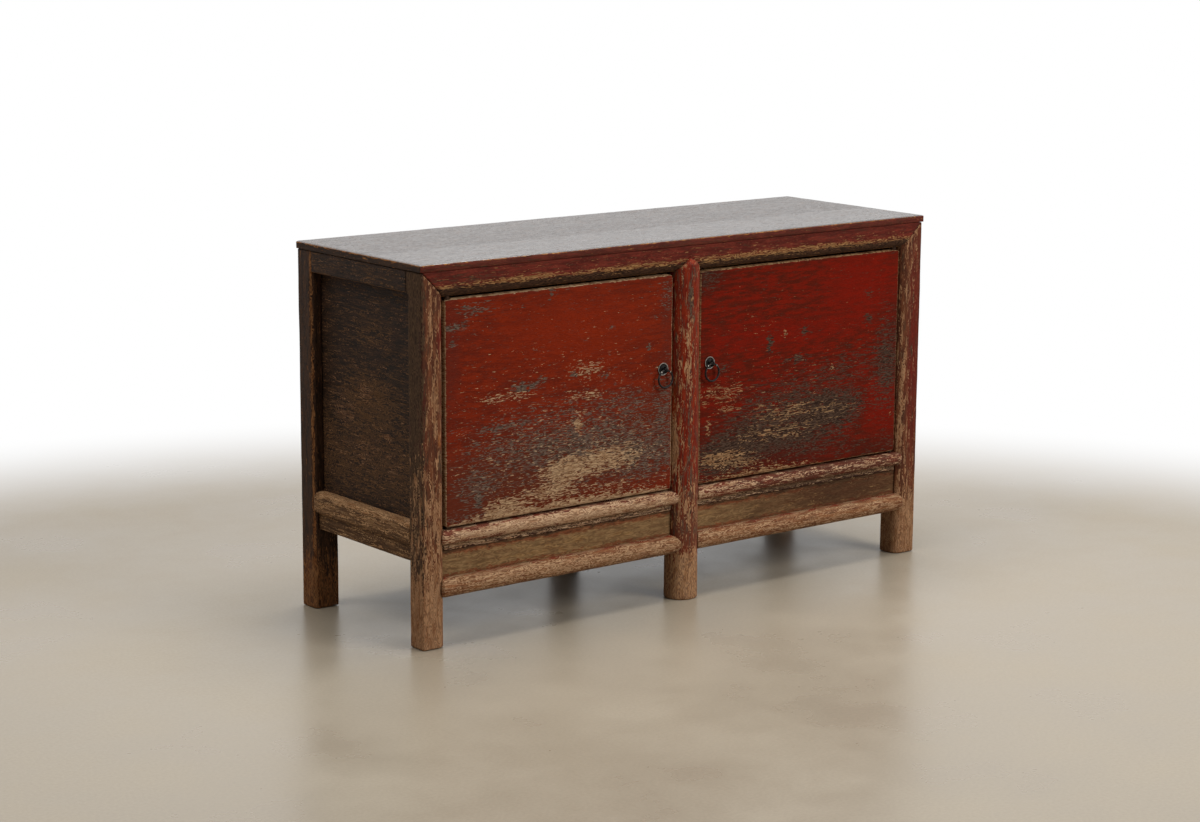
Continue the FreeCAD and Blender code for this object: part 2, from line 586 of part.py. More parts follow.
back_batten_slot_other = mirrored("back_batten_slot_other", back_batten_slot)
piece("back_top_rail", cut("back_top_rail", join("back_top_solid", [back_top_bar, back_top_tenon]), [
    back_middle_mortise, back_groove, back_groove_other, back_batten_slot, back_batten_slot_other]))

back_low_x = ("post_in_x", "-back_post_width / 2")
back_low_z = ("sill_low", "sill_top")
back_low_bar = box("back_low_bar", back_low_x, ("back_rail_y", "back_y - ridge_ease"), back_low_z)
back_low_tenon_x = ("post_in_x - tenon_long", "-back_post_width / 2 + side_tenon_long")
back_low_tenon = box("back_low_tenon", back_low_tenon_x, back_tenon_y, sill_tenon_z)
back_bearer_slot = box("back_bearer_slot", grown(bearer_tenon_x),
                       ("back_rail_y - overrun", "back_rail_y + batten_tenon + joint_play"), grown(bearer_tenon_z))
back_low_solid = join("back_low_solid", [back_low_bar, back_low_tenon])
pair("%s_back_lower_rail", cut("back_lower_rail", back_low_solid, [back_groove, back_bearer_slot]))

back_middle_bar = stick("back_middle_bar", ("-back_post_width / 2", "back_post_width / 2"), back_middle_y,
                        ("0", "open_top"))
rounded(back_middle_bar, ["-z"], "foot_ease")
back_low_mortise = box("back_low_mortise", grown(back_low_tenon_x), grown(back_tenon_y), grown(sill_tenon_z))
back_low_mortise_other = mirrored("back_low_mortise_other", back_low_mortise)
back_middle_solid = join("back_middle_solid", [back_middle_bar, back_middle_tenon])
piece("back_middle_post", cut("back_middle_post", back_middle_solid, [
    back_groove, back_groove_other, back_low_mortise, back_low_mortise_other]))

back_tongue_y = ("back_panel_y + (panel_thick - tongue_thick) / 2", "back_panel_y + (panel_thick + tongue_thick) / 2")
back_low_board = box("back_low_board", back_panel_x, back_panel_y, (back_panel_z[0], "back_seam"))
back_tongue = box("back_tongue", back_panel_x, back_tongue_y, ("back_seam - overrun", "back_seam + tongue_deep"))
pair("%s_back_lower_board", join("back_lower_board", [back_low_board, back_tongue]))
back_high_board = box("back_high_board", back_panel_x, back_panel_y, ("back_seam", back_panel_z[1]))
back_tongue_slot = box("back_tongue_slot", grown(back_panel_x), grown(back_tongue_y),
                       ("back_seam - overrun", "back_seam + tongue_deep + joint_play"))
pair("%s_back_upper_board", cut("back_upper_board", back_high_board, [back_tongue_slot]))

# Corner posts, cut for the mitre, the tenons, the panels and the apron
top_mortise = box("top_mortise", mortise_x, grown(front_tenon_y), grown(top_tenon_z))
sill_post_mortise = box("sill_post_mortise", mortise_x, grown(front_tenon_y), grown(sill_tenon_z))
low_post_mortise = box("low_post_mortise", mortise_x, grown(front_tenon_y), grown(low_tenon_z))
side_top_mortise = box("side_top_mortise", grown(side_tenon_x), grown(side_tenon_y), grown(side_top_tenon_z))
flank_mortise = box("flank_mortise", grown(side_tenon_x), grown(side_tenon_y), grown(flank_tenon_z))
front_post_cuts = [left_mitre, top_mortise, sill_post_mortise, low_post_mortise, side_top_mortise, flank_mortise,
                   front_groove, side_groove, apron_groove]
pair("front_%s_post", cut("front_post", front_post, front_post_cuts))
back_top_mortise = box("back_top_mortise", mortise_x, grown(back_tenon_y), grown(top_tenon_z))
back_low_post_mortise = box("back_low_post_mortise", mortise_x, grown(back_tenon_y), grown(sill_tenon_z))
back_post_cuts = [back_top_mortise, back_low_post_mortise, side_top_mortise, flank_mortise, back_groove,
                  side_groove, apron_groove]
pair("back_%s_post", cut("back_post", back_post, back_post_cuts))

# Floor: two bearers from sill to back rail, three boards along the case, notched round the posts
bearer_y = ("front_y + sill_back", "back_rail_y")
bearer_x = ("bearer_x - bearer_wide / 2", "bearer_x + bearer_wide / 2")
bearer_bar = box("bearer_bar", bearer_x, bearer_y, ("floor_low - bearer_high", "floor_low"))
bearer_tenons = box("bearer_tenons", bearer_tenon_x,
                    ("front_y + sill_back - batten_tenon", "back_rail_y + batten_tenon"), bearer_tenon_z)
pair("%s_floor_bearer", join("floor_bearer", [bearer_bar, bearer_tenons]))
floor_x = ("floor_left", "-floor_left")
floor_z = ("floor_low", "sill_top")
floor_front = "front_y + sill_back + floor_play"
floor_back = "back_rail_y - floor_play"
floor_third = "(back_rail_y - front_y - sill_back) / 3"
floor_seam_one = "front_y + sill_back + %s" % floor_third
floor_seam_two = "back_rail_y - %s" % floor_third
floor_tongue_z = ("floor_low + (floor_thick - tongue_thick) / 2", "floor_low + (floor_thick + tongue_thick) / 2")
post_notch_x = ("left_x", "post_in_x + floor_play")
front_notch = box("front_notch", post_notch_x, ("front_y", "side_front_y + floor_play"), grown(floor_z, "overrun"))
back_notch = box("back_notch", post_notch_x, ("side_back_y - floor_play", "back_y"), grown(floor_z, "overrun"))
middle_notch = rod("middle_notch", "z", ("0", "middle_y", "floor_low - overrun"), "middle_radius + floor_play",
                   "floor_thick + 2 * overrun")
front_floor = box("front_floor", floor_x, (floor_front, floor_seam_one), floor_z)
front_floor_tongue = box("front_floor_tongue", floor_x, ("%s - overrun" % floor_seam_one,
                                                        "%s + tongue_deep" % floor_seam_one), floor_tongue_z)
piece("front_floor_board", cut("front_floor_board", join("front_floor_whole", [front_floor, front_floor_tongue]), [
    front_notch, mirrored("front_notch_other", front_notch), middle_notch]))
middle_floor = box("middle_floor", floor_x, (floor_seam_one, floor_seam_two), floor_z)
middle_floor_tongue = box("middle_floor_tongue", floor_x, ("%s - overrun" % floor_seam_two,
                                                          "%s + tongue_deep" % floor_seam_two), floor_tongue_z)
middle_floor_slot = box("middle_floor_slot", grown(floor_x, "overrun"), (
    "%s - overrun" % floor_seam_one, "%s + tongue_deep + joint_play" % floor_seam_one), grown(floor_tongue_z))
piece("middle_floor_board", cut("middle_floor_board", join("middle_floor_whole", [
    middle_floor, middle_floor_tongue]), [middle_floor_slot]))
back_floor = box("back_floor", floor_x, (floor_seam_two, floor_back), floor_z)
back_floor_slot = box("back_floor_slot", grown(floor_x, "overrun"), (
    "%s - overrun" % floor_seam_two, "%s + tongue_deep + joint_play" % floor_seam_two), grown(floor_tongue_z))
piece("back_floor_board", cut("back_floor_board", back_floor, [
    back_floor_slot, back_notch, mirrored("back_notch_other", back_notch)]))

# Top: two battens between the top rails, two planks over all
batten_bar = box("batten_bar", batten_x, ("rail_back_y", "back_rail_y"), batten_z)
batten_tenons = box("batten_tenons", batten_tenon_x, ("rail_back_y - batten_tenon", "back_rail_y + batten_tenon"),
                    batten_tenon_z)
pair("%s_top_batten", join("top_batten", [batten_bar, batten_tenons]))
plank_x = ("left_x - board_over", "-left_x + board_over")
plank_z = ("frame_top", "total_height")
plank_seam = "front_y - board_over + front_plank"
plank_tongue_z = ("frame_top + (board_thick - tongue_thick) / 2", "frame_top + (board_thick + tongue_thick) / 2")
front_top = stick("front_top", plank_x, ("front_y - board_over", plank_seam), plank_z)
rounded(front_top, ["x-y+z", "y-x+z", "y+x+z", "z-x-y", "z+x-y"], "plank_ease")
rounded(front_top, ["x+y+z"], "seam_ease")
front_top_tongue = box("front_top_tongue", ("left_x", "-left_x"), (
    "%s - overrun" % plank_seam, "%s + tongue_deep" % plank_seam), plank_tongue_z)
piece("front_top_plank", join("front_top_plank", [front_top, front_top_tongue]))
back_top = stick("back_top", plank_x, (plank_seam, "back_y + board_over"), plank_z)
rounded(back_top, ["x+y+z", "y-x+z", "y+x+z", "z-x+y", "z+x+y"], "plank_ease")
rounded(back_top, ["x-y+z"], "seam_ease")
back_top_slot = box("back_top_slot", ("left_x - joint_play", "-left_x + joint_play"), (
    "%s - overrun" % plank_seam, "%s + tongue_deep + joint_play" % plank_seam), grown(plank_tongue_z))
piece("back_top_plank", cut("back_top_plank", back_top, [back_top_slot]))

# Door stops under the top rail, near each door's free edge
pair("%s_door_stop", box("door_stop", ("door_right - pull_inset - stop_long", "door_right - pull_inset"), (
    "door_back_y + seat_gap", "door_back_y + seat_gap + stop_thick"), ("open_top - stop_high", "open_top")))

# Door: a slab with rounded corners and a worn front edge, sawn into two boards
door_x = ("door_left", "door_right")
door_y = ("door_y", "door_back_y")
slab = stick("door_slab", door_x, door_y, ("door_low", "door_high"))
rounded(slab, ["y-x-z", "y-x+z", "y+x-z", "y+x+z"], "door_corner")
rounded(slab, ["-y"], "door_ease")
lower_zone = box("lower_zone", grown(door_x, "overrun"), grown(door_y, "overrun"), (
    "door_low - overrun", "door_seam"))
upper_zone = box("upper_zone", grown(door_x, "overrun"), grown(door_y, "overrun"), (
    "door_seam", "door_high + overrun"))
door_tongue_x = ("door_left + door_ease", "door_right - door_ease")
door_tongue_y = ("door_y + (door_thick - tongue_thick) / 2", "door_y + (door_thick + tongue_thick) / 2")
door_tongue = box("door_tongue", door_tongue_x, door_tongue_y, ("door_seam - overrun", "door_seam + tongue_deep"))
door_slot = box("door_slot", grown(door_tongue_x), grown(door_tongue_y), (
    "door_seam - overrun", "door_seam + tongue_deep + joint_play"))


def cleat(name, middle, play, low, high):
    """A dovetailed batten, or with some play its housing, from its section and its height."""
    wide = "(cleat_wide + 2 * %s)" % play
    deep = "(cleat_deep + %s)" % play
    corners = [("0", "0"), (wide, "0"), ("%s - cleat_flare" % wide, deep),
               ("%s - cleat_flare" % wide, "%s + cleat_thick" % deep), ("cleat_flare", "%s + cleat_thick" % deep),
               ("cleat_flare", deep)]
    body = padded(name, "XY_Plane", lambda b: outline(b, "XY_Plane", corners, name + "_section"),
                  "(%s) - (%s)" % (high, low))
    return put(body, "%s - %s / 2" % (middle, wide), "door_back_y - %s" % deep, low)


cleat_span = ("door_low + cleat_low", "door_high - cleat_high")
cleat_middles = {"hinge": "door_left + door_width * %s" % hinge_batten_share,
                 "pull": "door_right - door_width * %s" % pull_batten_share}
housings = []
for where, middle in cleat_middles.items():
    pair("%%s_door_%s_batten" % where, cleat("%s_cleat" % where, middle, "0", *cleat_span))
    housings.append(cleat("%s_housing" % where, middle, "joint_play", "door_low - overrun", cleat_span[1]))
upper_pivot_z = ("door_high - pivot_root", "open_top + pivot_rise")
lower_pivot_z = ("sill_top - pivot_drop", "door_low + pivot_root")
for where, span in (("upper", upper_pivot_z), ("lower", lower_pivot_z)):
    length = "(%s) - (%s)" % (span[1], span[0])
    pair("%%s_door_%s_pivot" % where, rod("%s_pivot" % where, "z", ("pivot_x", "pivot_y", span[0]),
                                         "pivot_radius", length))
pivot_hole_radius = "pivot_radius + pivot_play"
upper_hole = rod("upper_hole", "z", ("pivot_x", "pivot_y", upper_pivot_z[0]), pivot_hole_radius,
                 "pivot_root + overrun")
lower_hole = rod("lower_hole", "z", ("pivot_x", "pivot_y", "door_low - overrun"), pivot_hole_radius,
                 "pivot_root + overrun")
stem_hole = rod("stem_hole", "y", ("pull_x", "door_y - overrun", "pull_z"), "stem_radius + stem_play",
                "door_thick + 2 * overrun")
lower_board = join("lower_board", [overlap("lower_slab", [slab, lower_zone]), door_tongue])
pair("%s_door_lower_board", cut("door_lower_board", lower_board, housings + [lower_hole]))
upper_board = overlap("upper_slab", [slab, upper_zone])
pair("%s_door_upper_board", cut("door_upper_board", upper_board, housings + [upper_hole, stem_hole, door_slot]))

# Pull: a domed plate, a cotter-pin eye whose legs are clenched behind the door, and a ring
hole = "stem_radius + stem_play"
plate_corners = [(hole, "0"), ("plate_radius", "0"), ("plate_radius", "-plate_rim"), (hole, "-plate_crown")]
pair("%s_pull_plate", put(turned("pull_plate", "XY_Plane", plate_corners), "pull_x", "door_y", "pull_z"))

eye_loop = doc.addObject("Part::Torus", "eye_loop")
eye_loop.Placement.Rotation = FreeCAD.Rotation(Y_AXIS, QUARTER_TURN)
bind(eye_loop, Radius1="eye_radius", Radius2="eye_wire")
put(eye_loop, "pull_x", "eye_y", "pull_z")
eye_stem = rod("eye_stem", "y", ("pull_x", "eye_y + eye_radius", "pull_z"), "stem_radius",
               "door_back_y + seat_gap + 2 * eye_wire - eye_y - eye_radius")
eye_clench = rod("eye_clench", "z", ("pull_x", "door_back_y + seat_gap + eye_wire", "pull_z - clench_long"),
                 "eye_wire", "2 * clench_long")
pair("%s_pull_eye", join("pull_eye", [eye_loop, eye_stem, eye_clench]))

ring = doc.addObject("Part::Torus", "pull_ring")
ring.Placement.Rotation = FreeCAD.Rotation(X_AXIS, QUARTER_TURN)
bind(ring, Radius1="ring_radius", Radius2="ring_wire")
put(ring, "pull_x", "eye_y", "ring_top_z - ring_radius")
pair("%s_pull_ring", ring)

# Every object must be sound before anything is written
doc.recompute()
faults = [thing.Name for thing in doc.Objects if "Invalid" in thing.State or "Error" in thing.State]
if faults:
    raise RuntimeError("not built: " + ", ".join(faults))
os.makedirs("parts", exist_ok=True)
for node in nodes:
    shape = node.Shape
    if shape.isNull() or not shape.isValid() or len(shape.Solids) != 1 or shape.Volume <= 0:
        raise RuntimeError("unsound piece: " + node.Label)
for node in nodes:
    node.Shape.exportStep(os.path.join("parts", node.Label + ".step"))
whole = Part.makeCompound([node.Shape for node in nodes]).optimalBoundingBox(False, False)
print("pieces", len(nodes))
print("box x %.2f %.2f  y %.2f %.2f  z %.2f %.2f" % (
    whole.XMin, whole.XMax, whole.YMin, whole.YMax, whole.ZMin, whole.ZMax))
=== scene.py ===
# %% [markdown]
# # A worn lacquered kang cabinet
# This lesson dresses a low two-door cabinet. Its pieces come packed from CAD, so every rail and post is
# already in its place. What is left is what makes old furniture look old: the light, the woods, the worn
# lacquer and the forged iron.

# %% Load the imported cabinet
import json
import math

import bpy
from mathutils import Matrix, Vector


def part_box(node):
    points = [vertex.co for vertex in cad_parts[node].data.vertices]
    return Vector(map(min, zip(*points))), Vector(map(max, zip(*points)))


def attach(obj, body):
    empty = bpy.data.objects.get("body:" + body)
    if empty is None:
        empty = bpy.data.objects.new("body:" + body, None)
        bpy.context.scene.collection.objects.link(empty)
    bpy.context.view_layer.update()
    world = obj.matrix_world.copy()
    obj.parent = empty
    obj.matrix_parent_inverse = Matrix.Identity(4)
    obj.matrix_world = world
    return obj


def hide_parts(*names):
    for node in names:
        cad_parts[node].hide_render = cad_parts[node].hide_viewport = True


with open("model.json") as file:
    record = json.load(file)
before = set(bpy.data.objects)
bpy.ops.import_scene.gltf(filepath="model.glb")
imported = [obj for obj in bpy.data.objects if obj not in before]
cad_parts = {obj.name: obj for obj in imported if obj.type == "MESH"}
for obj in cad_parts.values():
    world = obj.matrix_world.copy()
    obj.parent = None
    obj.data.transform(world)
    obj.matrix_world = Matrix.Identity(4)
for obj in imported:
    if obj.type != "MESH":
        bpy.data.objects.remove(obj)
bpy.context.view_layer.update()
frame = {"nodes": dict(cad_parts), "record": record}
slots = {row["node"]: row["material_slot"] for row in frame["record"]["subparts"]}
bpy.ops.object.select_all(action="DESELECT")

# %% [markdown]
# ## The camera
# A photograph of furniture is taken from far away with a long lens, so that upright lines stay nearly
# upright. The place and the lens were worked out from the corners of the case. The camera stands 5.6 m away
# and 1.44 m high, with a lens of 81 mm.

# %% Camera
lens_data = bpy.data.cameras.new("camera")
lens_data.sensor_width = 36
lens_data.lens = 80.68
camera = bpy.data.objects.new("camera", lens_data)
camera.location = (-3.4255, -4.2588, 1.4380)
camera.rotation_euler = [math.radians(angle) for angle in (78.793, -0.309, -38.235)]
bpy.context.scene.collection.objects.link(camera)
bpy.context.scene.camera = camera
print("camera", round(camera.location.length, 2), "m from the cabinet's middle")

# %% [markdown]
# ## Light
# The room in the photograph has soft daylight. Large area lamps give the same soft edges: one before the
# doors, a weaker one towards the left side, which stays darker, and one above. The world is white where the
# camera or a reflection looks at it, and dimmer as a light, so that the shadows under the case stay deep.

# %% Lamps
bpy.context.scene.view_settings.view_transform = "Standard"
aim = Vector((0, 0, 0.35))
# each lamp's place, its width in metres and its power in watts
LAMPS = {
    "front_window": ((1.8, -4.2, 3.2), 2.6, 182),
    "side_window": ((-2.6, 0.0, 3.5), 1.8, 62),
    "ceiling": ((0.3, 0.1, 3.6), 2.4, 140),
}
for lamp_name, (spot, wide, watts) in LAMPS.items():
    lamp_data = bpy.data.lights.new(lamp_name, "AREA")
    lamp_data.size = wide
    lamp_data.energy = watts
    lamp = bpy.data.objects.new(lamp_name, lamp_data)
    lamp.location = spot
    lamp.rotation_euler = (aim - lamp.location).to_track_quat("-Z", "Y").to_euler()
    bpy.context.scene.collection.objects.link(lamp)
print("lamps", len(LAMPS))

# %% [markdown]
# ## One helper for nodes
# Every finish below is a small graph of nodes. This helper adds one node, sets its options, and fills its
# inputs with numbers, or links them when it is given a node or a socket.

# %% Add a node, and read a colour
def add(tree, kind, inputs=None, **options):
    made = tree.nodes.new("ShaderNode" + kind)
    for option, setting in options.items():
        setattr(made, option, setting)
    for socket, source in (inputs or {}).items():
        if isinstance(source, bpy.types.Node):
            source = source.outputs[0]
        if isinstance(source, bpy.types.NodeSocket):
            tree.links.new(source, made.inputs[socket])
        else:
            made.inputs[socket].default_value = source
    return made


def linear(code):
    """An sRGB hex colour as the linear light that Blender works with."""
    shares = [int(code[i:i + 2], 16) / 255 for i in (1, 3, 5)]
    return [s / 12.92 if s <= 0.04045 else ((s + 0.055) / 1.055) ** 2.4 for s in shares] + [1.0]


print("red lacquer in linear light", [round(s, 3) for s in linear("#7d2016")])

# %% World
def looked_at(tree):
    """1 for what the camera sees, straight, in a reflection or through glass; 0 for light on its way."""
    ray = add(tree, "LightPath")
    seen = add(tree, "Math", {0: ray.outputs["Is Camera Ray"], 1: ray.outputs["Is Glossy Ray"]},
               operation="ADD")
    return add(tree, "Math", {0: seen, 1: ray.outputs["Is Transmission Ray"]}, operation="ADD",
               use_clamp=True)


world = bpy.data.worlds.new("daylight")
bpy.context.scene.world = world
world.use_nodes = True
sky = world.node_tree
sky.nodes.clear()
strength = add(sky, "MapRange", {"Value": looked_at(sky), "To Min": 0.13, "To Max": 1.0})
background = add(sky, "Background", {"Color": linear("#ffffff"), "Strength": strength})
add(sky, "OutputWorld", {"Surface": background})
print("world nodes", len(sky.nodes))

# %% [markdown]
# ## The floor
# A ground concrete floor, pale and warm grey, with cloudy mottling and a slight polish that mirrors the feet.
# Well away from the cabinet it fades into the white of the studio, by the floor's own coordinates.

# %% Floor
# the fade starts 2.35 m from a place on the floor before the cabinet's left half, and ends 3.3 m from it
fade_middle, fade_start, fade_end = Vector((-0.95, -1.20, 0)), 2.35, 3.3
bpy.ops.mesh.primitive_plane_add(size=40)
floor = bpy.context.object
floor.name = "studio_floor"
floor_material = bpy.data.materials.new("ground concrete")
floor_material.use_nodes = True
tree = floor_material.node_tree
surface = tree.nodes["Principled BSDF"]
place = add(tree, "TexCoord").outputs["Object"]
# mottling in clouds of half a metre; grains of sand are too fine to show, so the grit is drawn 6 mm wide
clouds = add(tree, "TexNoise", {"Vector": place, "Scale": 2.2, "Detail": 6, "Roughness": 0.62})
tone = add(tree, "Mix", {0: clouds, 6: linear("#857a6a"), 7: linear("#9b907e")}, data_type="RGBA")
grit = add(tree, "TexNoise", {"Vector": place, "Scale": 160, "Detail": 2})
grit_tone = add(tree, "MapRange", {"Value": grit, "From Min": 0.3, "From Max": 0.7, "To Min": 0.94,
                                   "To Max": 1.05})
tone = add(tree, "Mix", {0: 1.0, 6: tone.outputs[2], 7: grit_tone}, data_type="RGBA", blend_type="MULTIPLY")
tree.links.new(tone.outputs[2], surface.inputs["Base Color"])
gloss = add(tree, "MapRange", {"Value": clouds, "From Min": 0.35, "From Max": 0.65, "To Min": 0.24,
                               "To Max": 0.42})
tree.links.new(gloss.outputs[0], surface.inputs["Roughness"])
surface.inputs["Specular IOR Level"].default_value = 0.4
centred = add(tree, "Mapping", {"Vector": place, "Location": -fade_middle})
away = add(tree, "VectorMath", {0: centred}, operation="LENGTH")
far = add(tree, "MapRange", {"Value": away.outputs["Value"], "From Min": fade_start, "From Max": fade_end},
          interpolation_type="SMOOTHSTEP")
white_share = add(tree, "Math", {0: far, 1: looked_at(tree)}, operation="MULTIPLY")
white = add(tree, "Emission", {"Color": linear("#ffffff"), "Strength": 1.0})
blend = add(tree, "MixShader", {0: white_share, 1: surface, 2: white})
tree.links.new(blend.outputs[0], tree.nodes["Material Output"].inputs["Surface"])
floor.data.materials.append(floor_material)
print("floor nodes", len(tree.nodes))

# %% [markdown]
# ## Wood that hands have worn
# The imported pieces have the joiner's true faces and sharp arrises. A century of use rounds every arris and
# leaves faces that aren't quite flat any more. Planing that by hand would take days, so each visible piece is
# copied, and a voxel remesh rebuilds it from cells of a few millimetres, which softens its edges by about
# half a cell. Two cloud textures then press shallow hollows and small dents into it, only inwards, so that
# nothing grows.

# %% One piece at a time
body_of = {node: body for body, nodes in frame["record"]["behaviour"]["bodies"].items() for node in nodes}
shown = dict(frame["nodes"])
# rubbing leaves hollows 55 mm wide, knocks leave dents 18 mm wide
hollows = bpy.data.textures.new("hollows", "CLOUDS")
hollows.noise_scale = 0.055
hollows.noise_depth = 1
dents = bpy.data.textures.new("dents", "CLOUDS")
dents.noise_scale = 0.018
dents.noise_depth = 1


def only(piece):
    """Selects one piece alone and makes it active, as a click on it would."""
    bpy.ops.object.select_all(action="DESELECT")
    piece.select_set(True)
    bpy.context.view_layer.objects.active = piece


def pick(piece, wanted):
    """In edit mode, selects the faces for which wanted(face) is true."""
    bpy.ops.mesh.select_all(action="DESELECT")
    bpy.ops.mesh.select_mode(type="FACE")
    bpy.ops.object.mode_set(mode="OBJECT")
    for face in piece.data.polygons:
        face.select = wanted(face)
    bpy.ops.object.mode_set(mode="EDIT")


def settle(piece, *nodes):
    """The finished piece rides where its CAD node rides, and stands for it."""
    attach(piece, body_of[nodes[0]])
    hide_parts(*nodes)
    for node in nodes:
        shown[node] = piece


def merged_copy(name, *nodes):
    """The CAD nodes' meshes in one new piece, with their doubled corners merged."""
    parts = []
    for node in nodes:
        part = bpy.data.objects.new(name, frame["nodes"][node].data.copy())
        bpy.context.scene.collection.objects.link(part)
        parts.append(part)
    only(parts[0])
    for part in parts[1:]:
        part.select_set(True)
    if len(parts) > 1:
        bpy.ops.object.join()
    bpy.ops.object.mode_set(mode="EDIT")
    bpy.ops.mesh.select_all(action="SELECT")
    bpy.ops.mesh.remove_doubles(threshold=0.00001)
    bpy.ops.mesh.normals_make_consistent(inside=False)
    bpy.ops.object.mode_set(mode="OBJECT")
    return parts[0]


def wear_down(piece, cell_mm, hollow_mm, dent_mm):
    """Rounds a piece's edges by about half a cell and presses hollows and dents into its faces."""
    cells = piece.modifiers.new("cells", "REMESH")
    cells.mode = "VOXEL"
    cells.voxel_size = cell_mm / 1000
    for texture, depth_mm in ((hollows, hollow_mm), (dents, dent_mm)):
        press = piece.modifiers.new(texture.name, "DISPLACE")
        press.texture = texture
        press.texture_coords = "LOCAL"
        press.mid_level = 1.0
        press.strength = depth_mm / 1000
    polish = piece.modifiers.new("polish", "SMOOTH")
    polish.factor = 0.5
    polish.iterations = 1
    for modifier in list(piece.modifiers):
        bpy.ops.object.modifier_apply(modifier=modifier.name)
    bpy.ops.object.shade_smooth()


def weathered(node, cell_mm=2.2, hollow_mm=0.6, dent_mm=0.12):
    """A worn copy that stands for one CAD node; returns how many faces it has."""
    piece = merged_copy("worn_" + node, node)
    wear_down(piece, cell_mm, hollow_mm, dent_mm)
    settle(piece, node)
    return len(piece.data.polygons)


# %% Wear the rails and posts that are seen
# the corner posts are battered most; the middle post and the top rail are a little crisper
counts = {}
for side in ("left", "right"):
    for rail in ("sill_rail", "bottom_rail", "side_lower_rail", "side_apron", "side_top_rail", "front_panel"):
        counts[side + "_" + rail] = weathered(side + "_" + rail)
    for post in ("front_" + side + "_post", "back_" + side + "_post"):
        counts[post] = weathered(post, 2.2, 0.9, 0.2)
counts["front_middle_post"] = weathered("front_middle_post", 1.8, 0.5, 0.12)
counts["front_top_rail"] = weathered("front_top_rail", 2.4, 0.6, 0.12)
print("worn pieces", len(counts), "faces", sum(counts.values()), "most", max(counts, key=counts.get))

# %% [markdown]
# ## Boards that wear as one face
# Two boards glued edge to edge wear as one. If each were rounded alone, their joint would open into a groove
# that the real cabinet doesn't have. So the pair is joined, worn as one piece, and sawn apart again at the
# joint: a bisect that fills the cut, once for each side of the plane.

# %% Wear a pair of boards
def worn_pair(first, second, cut_at, cut_along, cell_mm, hollow_mm, dent_mm):
    """Wears two boards as one and saws them apart at cut_at metres along the axis cut_along."""
    pair = merged_copy("worn_pair", first, second)
    wear_down(pair, cell_mm, hollow_mm, dent_mm)
    normal = Vector([1.0 if axis == cut_along else 0.0 for axis in "xyz"])
    pieces = []
    for node, keep_low in ((first, True), (second, False)):
        piece = bpy.data.objects.new("worn_" + node, pair.data.copy())
        bpy.context.scene.collection.objects.link(piece)
        only(piece)
        bpy.ops.object.mode_set(mode="EDIT")
        bpy.ops.mesh.select_all(action="SELECT")
        bpy.ops.mesh.bisect(plane_co=normal * cut_at, plane_no=normal, use_fill=True, clear_outer=keep_low,
                            clear_inner=not keep_low)
        bpy.ops.object.mode_set(mode="OBJECT")
        settle(piece, node)
        pieces.append(piece)
    bpy.data.objects.remove(pair)
    return pieces


# %% Doors, side panels and the top
# where the boards meet: a height on the doors, a depth on the top
door_seam, top_seam = 0.41396, -0.031
for side in ("left", "right"):
    door = worn_pair(side + "_door_lower_board", side + "_door_upper_board", door_seam, "z", 2.6, 0.5, 0.1)
    side_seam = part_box(side + "_side_upper_board")[0].z
    panel = worn_pair(side + "_side_lower_board", side + "_side_upper_board", side_seam, "z", 3.0, 0.7, 0.15)
    print(side, "door and side faces", [len(piece.data.polygons) for piece in door + panel])
top = worn_pair("front_top_plank", "back_top_plank", top_seam, "y", 3.2, 0.5, 0.03)
print("top faces", [len(piece.data.polygons) for piece in top])

# %% [markdown]
# ## Forged ring pulls
# A smith made each pull from bar and wire: a round plate with its rim turned up, a cotter of thin wire pushed
# through the plate and the door and clenched behind, and a ring bent from round rod, hammered until it
# closed. The plate starts as a disc whose face is inset and pushed in step by step. The ring starts as a
# torus, thinned where it has hung in the eye for a century. Small dents from the hammer come last.

# %% Hammer marks
# a small hammer leaves dents 3.5 mm wide
hammer = bpy.data.textures.new("hammer_marks", "CLOUDS")
hammer.noise_scale = 0.0035
hammer.noise_depth = 1
# discs and rods start a hair thinner than the CAD's, so that the smoothed shape stays inside it
BAR_STOCK = 0.99


def hammered(piece, dent_mm, rounds=1):
    """Smooths a piece by some rounds of subdivision and strikes shallow dents into it."""
    if rounds:
        soften = piece.modifiers.new("soften", "SUBSURF")
        soften.levels = rounds
        soften.render_levels = rounds
    strike = piece.modifiers.new("strike", "DISPLACE")
    strike.texture = hammer
    strike.texture_coords = "LOCAL"
    strike.mid_level = 1.0
    strike.strength = dent_mm / 1000
    for modifier in list(piece.modifiers):
        bpy.ops.object.modifier_apply(modifier=modifier.name)
    bpy.ops.object.shade_smooth()


# %% Plate with a turned-up rim
def forged_plate(node):
    low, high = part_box(node)
    middle, radius, thick = (low + high) / 2, (high.x - low.x) / 2, high.y - low.y
    bpy.ops.mesh.primitive_cylinder_add(vertices=36, radius=radius * BAR_STOCK, depth=thick,
                                        location=middle, rotation=(math.pi / 2, 0, 0))
    plate = bpy.context.object
    plate.name = "forged_" + node
    only(plate)
    bpy.ops.object.transform_apply(location=True, rotation=True, scale=True)
    bpy.ops.object.mode_set(mode="EDIT")
    pick(plate, lambda face: face.normal.y < -0.9)
    # a rim 1.7 mm wide, then a dish 1.15 mm deep that rises again towards the eye
    for wide_mm, deep_mm in ((0.5, 0), (1.2, 0.05), (0.8, 0.9), (3.0, 0.2), (2.8, -0.35), (2.0, -0.25)):
        bpy.ops.mesh.inset(thickness=wide_mm / 1000, depth=0)
        bpy.ops.transform.translate(value=(0, deep_mm / 1000, 0))
    bpy.ops.object.mode_set(mode="OBJECT")
    hammered(plate, 0.25, 2)
    settle(plate, node)
    return plate


